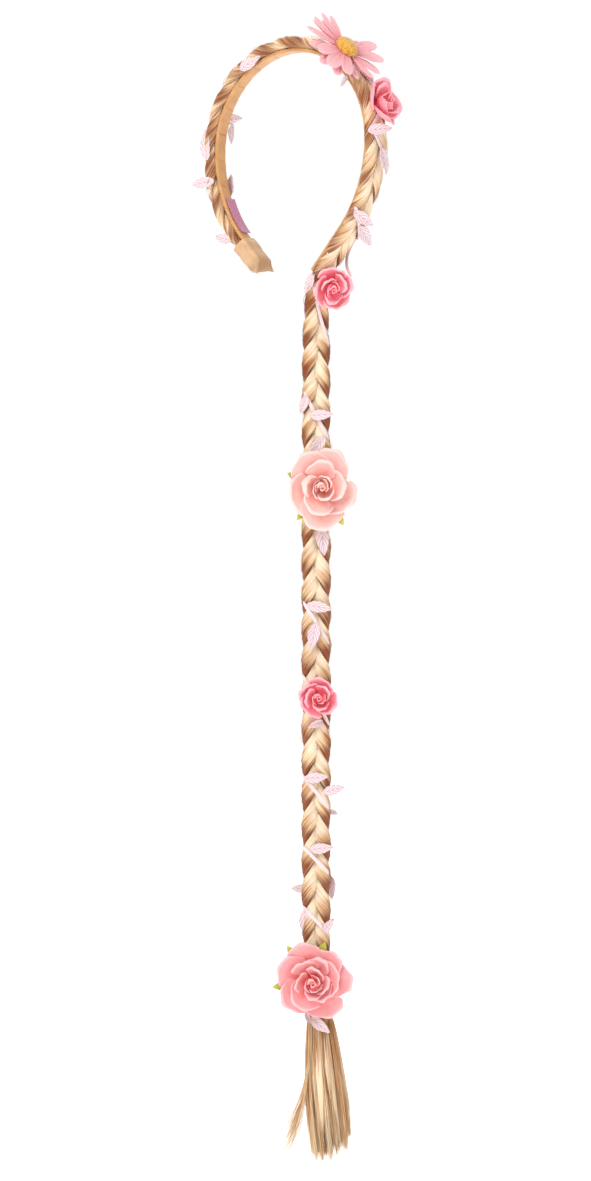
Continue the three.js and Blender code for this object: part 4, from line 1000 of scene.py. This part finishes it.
def rose_ring(foot, petals, turn):
    """Petals as sheets. A petal's wall is a quadratic curve from its foot through a belly to its rim; the rim then
    bends outwards in a small arc and ends in a straight flap. It is highest in its middle, falls away to its sides,
    and one side lies inside its neighbour and the other outside. A long wave and a short one crumple it towards
    its rim. The arc, the overlap and the waves grow with the rim's radius."""
    ROWS, COLUMNS, FALL, WALL, BENT, ROOT, CRUMPLE = 32, 29, 0.36, 0.66, 0.84, 0.3, 0.5
    BELLY_SHARE, BELLY_OUT, BELLY_UP, FALL_POWER, SKEW = 0.75, 2.4, 0.12, 1.35, 0.12
    SIDE_BEND, SIDE_FLAP, FOOT_SPREAD, SPREAD_BY = 0.35, 0.7, 0.66, 0.7
    angle, far, high, half, bent, flap = np.array(petals, float).T[:, :, None, None]
    own = draws.uniform(-1, 1, (len(petals), 3)).T[:, :, None, None]
    part, u = sheet_axes(ROWS, COLUMNS)
    rising = np.clip(part / WALL, 0, 1)
    reach = rising * (1 - FALL * np.abs(u) ** FALL_POWER)
    base = np.stack([ROOT + 0 * far, foot + 0 * far])
    belly = np.stack([BELLY_SHARE * far + BELLY_OUT, foot + BELLY_UP * (high - foot)])
    rim = np.stack([far, high])
    profile = (1 - reach) ** 2 * base + 2 * reach * (1 - reach) * belly + reach ** 2 * rim
    ahead = (1 - reach) * (belly - base) + reach * (rim - belly)
    ahead = ahead / np.linalg.norm(ahead, axis=0)
    outward = np.stack([ahead[1], -ahead[0]])
    bend = np.clip((part - WALL) / (BENT - WALL), 0, 1) * np.radians(bent) * (1 - SIDE_BEND * np.abs(u) ** 3)
    hang = np.clip((part - BENT) / (1 - BENT), 0, 1) * flap * (1 - SIDE_FLAP * u ** 2)
    arc_radius, lap, wave = 0.15 + 0.028 * far, 0.7 + 0.075 * far, 0.25 + 0.035 * far
    radius, height = (profile + arc_radius * (ahead * np.sin(bend) + outward * (1 - np.cos(bend)))
                      + hang * (ahead * np.cos(bend) + outward * np.sin(bend)))
    aside = np.sin(3.4 * u + 3 * own[0]) + CRUMPLE * np.sin(11 * u + 5 * own[1] + 2.5 * part) * (1 - 0.5 * u ** 2)
    upward = np.sin(3.1 * u + 6 * own[1]) + CRUMPLE * np.sin(9 * u + 4 * own[2])
    radius = radius + lap * u * rising + wave * aside * part ** 2
    height = height + wave * upward * part ** 3
    opened = np.sin(np.pi / 2 * np.clip(part / SPREAD_BY, 0, 1))
    share = np.radians(half) * (FOOT_SPREAD + (1 - FOOT_SPREAD) * opened)
    round_about = turn + np.radians(angle) + share * u * (1 + SKEW * own[2] * u)
    return round_axis(radius, 0, round_about, height), *petal_uv(len(petals), part, u)


def rose_heart(radius, foot, height):
    """A strip rolled one and a half times round, its radius growing with its turn, crumpled by two waves and drawn
    in at the foot, with a ragged rim."""
    ROWS, COLUMNS, TURNS, MIDDLE, FOOT_SCALE = 14, 90, 1.5, 0.12, 0.12
    part = np.linspace(0, 1, COLUMNS)[None]
    up = np.linspace(0, 1, ROWS)[:, None]
    angle = 2 * np.pi * TURNS * part
    crumple = 1 + (0.22 * np.sin(14 * part + 1.2 * up) + 0.12 * np.sin(31 * part)) * up
    reach = crumple * radius * (MIDDLE + (1 - MIDDLE) * part) * (FOOT_SCALE + (1 - FOOT_SCALE) * up)
    top = foot + height * up * (1 + 0.07 * np.sin(9 * part) + 0.05 * np.sin(29 * part + 1))
    return round_axis(reach, 0, angle, top), *np.broadcast_arrays(4 * part, FULL_LENGTH * up)


def rose_stalk():
    """The short stalk that is stitched into the ribbon: a round post from the hair up into the petals, closed at
    both ends."""
    ROWS, SIDES, RADIUS, LOWEST, HIGHEST = 12, 24, 2.4, -2.2, 5.0
    up = np.linspace(0, 1, ROWS)
    reach = RADIUS * np.clip(np.sin(np.pi * up) * 3, 0, 1)[:, None]
    height = LOWEST + (HIGHEST - LOWEST) * up[:, None]
    return round_axis(reach, 0, circle(SIDES), height), ring_uv(0.5 * up, np.linspace(0, 4, SIDES + 1))


def sepal_sheets(angle, reach):
    """Blunt blades from the foot, each at its angle in degrees: half width as the sine of the length, rising to
    their tips, rounded there and folded a little along the middle."""
    ROWS, COLUMNS, ROOT, HALF, RISE, FOOT, ROUND_TIP, FOLD = 24, 9, 1.5, 3.6, 3.5, 0.9, 1.2, 0.5
    angle, reach = (np.array(values, float)[:, None, None] for values in (np.radians(angle), reach))
    part, u = sheet_axes(ROWS, COLUMNS)
    half = HALF * np.clip(np.sin(np.pi * (0.2 + 0.76 * part ** 1.5)), 0.03, 1) ** 0.7
    length = ROOT + (reach - ROOT) * part - ROUND_TIP * u ** 2 * part
    height = FOOT + RISE * part ** 1.5 + FOLD * np.abs(u) * np.sin(np.pi * part)
    return round_axis(length, half * u, angle, height), *petal_uv(len(reach), part, u)


# Each cloth's first tone is painted shade at the petals' roots and its last a paler rim with painted highlight.
pale_cloth = petal_material("pale_rose_cloth", tone(228, 116, 84), tone(251, 198, 190), tone(254, 210, 203))
pink_cloth = petal_material("pink_rose_cloth", tone(230, 66, 48), tone(248, 171, 173), tone(252, 192, 194))
bright_cloth = petal_material("bright_rose_cloth", tone(236, 80, 94), tone(253, 148, 162), tone(255, 182, 193))
sepal_cloth = petal_material("sepal_cloth", tone(120, 128, 20), tone(168, 172, 40), tone(190, 190, 70))
CLOSED = CLOSED_ROSE, LARGE_HEART, pale_cloth, "pale_rose_cloth"
OPEN = OPEN_ROSE, LARGE_HEART, pink_cloth, "pink_rose_cloth"
SMALL = SMALL_ROSE, SMALL_HEART, bright_cloth, "bright_rose_cloth"


def rose(name, place, kind, turn=0.0, stretch=(1, 1, 1), sepals=None):
    """A rose's pieces, each ring from the formula of its petals, turned and stretched a little, at its place on the
    braid. Its stalk goes with its lowest piece."""
    rings, heart, cloth, slot = kind
    foot, axes = flower_frame(*place)

    def wall(*sheet):
        points, uv = walled(*sheet, ROSE_WALL)
        return placed(points * stretch, foot, axes), uv

    post, post_uv = rose_stalk()
    stalk = (placed(post, foot, axes), post_uv)
    for part, (level, petals) in rings.items():
        grids = [wall(*rose_ring(level, petals, turn))]
        if part == "outer_petals" and not sepals:
            grids.append(stalk)
        if part == "bud":
            grids.append(wall(*rose_heart(**heart)))
        make_piece(f"{name}_cloth_{part}", grids, cloth, [f"{name}_{part}"])
    if sepals:
        make_piece(f"{name}_cloth_sepals", [wall(*sepal_sheets(*sepals)), stalk], sepal_cloth,
                   [f"{name}_sepals"])


# Place: distance along, across, turned towards the front, tilted onward, and how far it stands off
rose("small_rose_1", (276, -3.6, -4, 0, -0.4), SMALL, 0.9, (1.16, 1.2, 1))
rose("small_rose_2", (392.5, 6.6, 40, 0, -0.3), SMALL, 0.0, (0.97, 1.14, 1))
rose("large_rose_1", (along_at(272), 3.6, 0, 0, -1.4), CLOSED, 0.0, (0.94, 1.01, 1),
     ((14, 87, 158, 230, 302), (17, 26.2, 24.5, 25.5, 26.5)))
rose("small_rose_3", (along_at(401.5), 1.5, 0, 0, -1.4), SMALL, 2.2)
rose("large_rose_2", (along_at(577), -2.2, 0, 0, -1.4), OPEN, 0.0, (1, 1, 1),
     ((-12, 73, 125, 187, 272), (24.5, 26, 27.5, 25, 20)))

# Tie and tassel
# Thread wound tight round the braid's end, and below it the ends of the hair, which hang loose, spread a little and
# thin out at their tips.
TIE_HEIGHT = 8.0


def tie_piece():
    """A rounded ring round the braid's end, grooved by the turns of its thread."""
    STATIONS, SIDES, CLEAR, WALL, THREADS, SQUARENESS = 70, 72, 0.1, 0.9, 9, 0.7
    DRAWN_IN, EDGE, THREAD, UV_ROUND, UV_ABOUT = 1.2, 0.5, 0.22, 17, 36
    width, thick = braid_size(braid_line.length)
    up = np.linspace(0, 1, STATIONS)
    turn = circle(SIDES)
    c, s = rounded(turn, SQUARENESS)
    edge = EDGE * (1 - np.sqrt(1 - np.abs(2 * up - 1) ** 8))[:, None]
    thread = THREAD * np.abs(np.sin(np.pi * THREADS * up[:, None] + 0.5 * turn[None]))
    frames = braid_frames(along_at(TAIL_DROP + TIE_HEIGHT * (up - 0.5)))
    outer, inner = (swept(frames, (width / 2 - DRAWN_IN + more) * c, (thick / 2 + more) * s)
                    for more in (CLEAR + WALL + thread - edge, CLEAR - edge))
    grid = np.concatenate([outer, inner[::-1], outer[:1]])
    made, tree, shader = new_material("wound_thread", {"Sheen Weight": 0.2})
    strands = stretched_noise(tree, coordinates(tree, "UV"), (0.7, 5.0, 1.0), 3.0)
    shade = mixed(tree, spread(tree, strands, 0.3, 0.7), tone(190, 138, 82), tone(232, 192, 140))
    finish_surface(tree, shader, shade, strands, 0.5, 0.0003, (0.58, 0.74))
    uv = ring_uv(np.linspace(0, UV_ROUND, len(grid)), np.linspace(0, UV_ABOUT, SIDES + 1))
    make_piece("thread_tie", [(grid, uv)], made, ["braid_tie"])


tie_piece()

# Locks: offsets across and out at the head and at the tip, the tip's drop, the width and the bend
LOCKS = np.array([
    (-4.4, 0, -19, 1, 680, 1.6, 3.4), (-3.6, 0.8, -5, -2, 668, 2.4, 3), (-1.6, -1, 0, -4, 684, 9, 1.6),
    (0, 1.2, 4, 3.5, 688, 10, 1.4), (1.6, -0.8, 10, -3, 684, 9, 1.2), (3.4, 0.8, 15, 2, 680, 8, 1.0),
    (4.6, 0, 18, -1, 672, 6, 0.9)])
# Warmer tones for the same painted highlight, painted shade and painted crease shade as the braid's.
tassel_hair = hair_material("loose_blond_hair", {
    "Dark": tone(212, 142, 74), "Light": tone(255, 233, 190), "Bright": tone(255, 243, 216),
    "Painted_shade": tone(176, 98, 34), "Painted_crease_shade": tone(120, 66, 26)})


def tassel_paths(head, tip, drop, bend, bulge, points):
    """Lines down from the tie: the offset goes from the head's to the tip's as the drop's share to the power bend,
    and bulges across by a half sine."""
    part = np.linspace(0, 1, points)
    along = along_at(TAIL_DROP + SEAT_GAP + (drop[:, None] - TAIL_DROP - SEAT_GAP) * part)
    offset = head[:, None] + (tip - head)[:, None] * (part ** bend[:, None])[..., None]
    centre, _, out, across = braid_frames(along)
    aside = offset[..., 0] + bulge[:, None] * np.sin(np.pi * part)
    return centre + aside[..., None] * across + offset[..., 1:] * out


def tassel_piece():
    """The locks as ridged tubes drawn to points at their tips, and many single hairs from the tie, which gather in
    clumps towards their tips. A clump has its own length and lies forward or back. Those at the left bulge and
    come back, and a few leave them as a wisp."""
    RINGS, SIDES, HAIRS, POINTS, RADIUS, FLATNESS = 44, 30, 2000, 14, 0.19, 0.7
    CLUMPS, GATHER, WISP_SHARE, WISP_TIP, WISP_BEND = 13, 0.45, 0.04, -19.5, 3.4
    HEAD_LEFT, HEAD_WIDTH, TIP_LEFT, TIP_WIDTH = -5.2, 14.4, -2.2, 23.6
    LOWEST, RIGHT_RISE, CLUMP_RISE, SHORTER, WISP_DROPS = 693, 10, 6, (0, 3, 18), (668, 687)
    LOCK_SIZE, LOCK_LENGTH, LOCK_ABOUT, LOCK_APART, HAIR_LENGTH, HAIR_APART = 0.4, 90, 14, 20.0, 80, 1.3
    ROOT_LENGTH, ROOT_SHADE, MEAN_SHADE, LOCKS_VARY, HAIRS_VARY, FADE = 0.25, 0.5, 0.42, 0.24, 0.2, 0.2
    part = np.linspace(0, 1, RINGS)
    turn = circle(SIDES)
    centre = tassel_paths(LOCKS[:, 0:2], LOCKS[:, 2:4], LOCKS[:, 4], LOCKS[:, 6], 0 * LOCKS[:, 6], RINGS)
    full = np.sin(np.pi * (0.3 + 0.7 * part)) * np.clip(part * RINGS, 0, 1)
    ridge = 1 + 0.1 * np.sin(7 * turn + 5 * part[:, None]) + 0.06 * np.sin(12 * turn - 4 * part[:, None] + 1)
    swell = LOCK_SIZE * (LOCKS[:, 5:6] * full)[..., None] * ridge
    _, _, out, across = (v[0] for v in braid_frames(np.array([braid_line.length])))
    tubes = (centre[:, :, None] + (swell * np.cos(turn))[..., None] * across
             + (FLATNESS * swell * np.sin(turn))[..., None] * out)
    lock_uv = ring_uv(part * LOCK_LENGTH, np.linspace(0, LOCK_ABOUT, SIDES + 1))
    lock_uv = lock_uv + stacked(LOCK_APART * np.arange(len(LOCKS)), 0)[:, None, None]
    pick = draws.uniform(0, 1, HAIRS)
    wisp = draws.uniform(0, 1, HAIRS) < WISP_SHARE
    clump = np.floor(CLUMPS * pick)
    gathered = (clump + 0.5) / CLUMPS * (1 - GATHER) + pick * GATHER
    own = draws.normal(0, 1, (HAIRS, 3))
    head = np.stack([np.where(wisp, -5 + 1.2 * pick, HEAD_LEFT + HEAD_WIDTH * pick), 2.6 * own[:, 0]], -1)
    tip_across = np.where(wisp, WISP_TIP + 1.5 * own[:, 1], TIP_LEFT + TIP_WIDTH * gathered + 0.8 * own[:, 1])
    tip = np.stack([tip_across, 3.6 * np.sin(2.4 * clump) + 1.8 * own[:, 2]], -1)
    lowest = LOWEST - RIGHT_RISE * np.clip(2 * pick - 1, 0, 1) - CLUMP_RISE * np.sin(1.9 * clump + 0.9) ** 2
    drop = np.where(wisp, draws.uniform(*WISP_DROPS, HAIRS), lowest - draws.triangular(*SHORTER, HAIRS))
    bend = np.where(wisp, WISP_BEND, 1.5 - 0.8 * pick)
    bulge = np.where(wisp, 0, -2.4 * (1 - pick) ** 2)
    hairs = fibre_tubes(tassel_paths(head, tip, drop, bend, bulge, POINTS), RADIUS)
    hair_uv = stacked(np.arange(HAIRS)[:, None, None] * HAIR_APART + np.zeros(4),
                      np.linspace(0, HAIR_LENGTH, POINTS)[None, :, None])
    made = make_piece("hair_tassel", [(tubes, lock_uv), (hairs, hair_uv)], tassel_hair, ["tassel"])
    # A share of painted shade for each point: on the locks highest at the tie, and on each hair varying by clump and
    # by hair and falling from the tie to the tip, with painted highlight where it is low.
    root = np.clip(1 - part / ROOT_LENGTH, 0, 1) ** 2 * ROOT_SHADE
    own_shade = MEAN_SHADE + LOCKS_VARY * np.sin(23 * pick + 0.6) + draws.uniform(-HAIRS_VARY, HAIRS_VARY, HAIRS)
    own_shade = own_shade[:, None] + np.linspace(FADE, -FADE, POINTS)
    shade = np.concatenate([np.broadcast_to(root[None, :, None], tubes.shape[:-1]).ravel(),
                            np.broadcast_to(own_shade[..., None], hairs.shape[:-1]).ravel()])
    keep_value(made, "painted_shade_share", shade)


tassel_piece()

# Studio
# A wide pale floor under the hanging part, white all round, a broad soft key from the upper left of the camera, and
# a weaker fill from the right. The camera looks level from the photo's angle.
FLOOR_Z = -0.76
VIEW_TURN = np.radians(40)
VIEW_DISTANCE = 2.2
VIEW_RIGHT, VIEW_UP = 0.00124, -0.3351
FOCAL_PIXELS, LONG_SIDE, SENSOR = 3530.0, 1181.0, 36


def floor_piece():
    """A flat square, far wider than the part."""
    HALF = 6.0
    corners = np.array([(-HALF, -HALF), (HALF, -HALF), (HALF, HALF), (-HALF, HALF)])
    mesh = bpy.data.meshes.new("floor")
    mesh.from_pydata([(x, y, FLOOR_Z) for x, y in corners], [], [(0, 1, 2, 3)])
    made, _, _ = new_material("pale_floor", {
        "Base Color": (0.86, 0.86, 0.86, 1), "Roughness": 0.9, "Emission Color": (1, 1, 1, 1),
        "Emission Strength": 0.7})
    mesh.materials.append(made)
    floor = add_object("floor", mesh)


def facing_matrix(place, back):
    """A matrix at a place whose own Z points back, upright."""
    right = unit(np.cross([0, 0, 1], back))
    matrix = np.eye(4)
    matrix[:3, :3] = np.column_stack([right, np.cross(back, right), back])
    matrix[:3, 3] = place
    return Matrix(matrix.tolist())


def soft_light(name, turn, rise, distance, size, power):
    """A square light at a turn about the part and a rise, facing the part's middle."""
    data = bpy.data.lights.new(name, "AREA")
    data.energy = power
    data.size = size
    made = add_object(name, data)
    turn, rise = np.radians(turn), np.radians(rise)
    back = np.array([np.sin(turn) * np.cos(rise), -np.cos(turn) * np.cos(rise), np.sin(rise)])
    made.matrix_world = facing_matrix(np.array([0, 0, VIEW_UP]) + distance * back, back)


floor_piece()
soft_light("key", 5, 42, 2.2, 1.2, 29)
soft_light("fill", 95, 10, 2.4, 1.4, 8)
soft_light("back", 215, 45, 2.2, 1.0, 10)

world = bpy.data.worlds.new("studio")
bpy.context.scene.world = world
world.use_nodes = True
sky = world.node_tree
sky.nodes.clear()
seen = add_node(sky, "ShaderNodeLightPath", {}).outputs["Is Camera Ray"]
fill_light = add_node(sky, "ShaderNodeBackground", {"Color": (1, 1, 1, 1), "Strength": 0.5})
white = add_node(sky, "ShaderNodeBackground", {"Color": (1, 1, 1, 1), "Strength": 1.0})
chosen = add_node(sky, "ShaderNodeMixShader", {0: seen, 1: fill_light.outputs[0], 2: white.outputs[0]})
add_node(sky, "ShaderNodeOutputWorld", {"Surface": chosen.outputs[0]})
bpy.context.scene.view_settings.view_transform = "Standard"

camera = add_object("camera", bpy.data.cameras.new("camera"))
right = np.array([np.cos(VIEW_TURN), np.sin(VIEW_TURN), 0])
back = np.array([np.sin(VIEW_TURN), -np.cos(VIEW_TURN), 0])
camera.matrix_world = facing_matrix(VIEW_RIGHT * right + np.array([0, 0, VIEW_UP]) + VIEW_DISTANCE * back, back)
camera.data.sensor_width = SENSOR
camera.data.lens = SENSOR * FOCAL_PIXELS / LONG_SIDE
bpy.context.scene.camera = camera
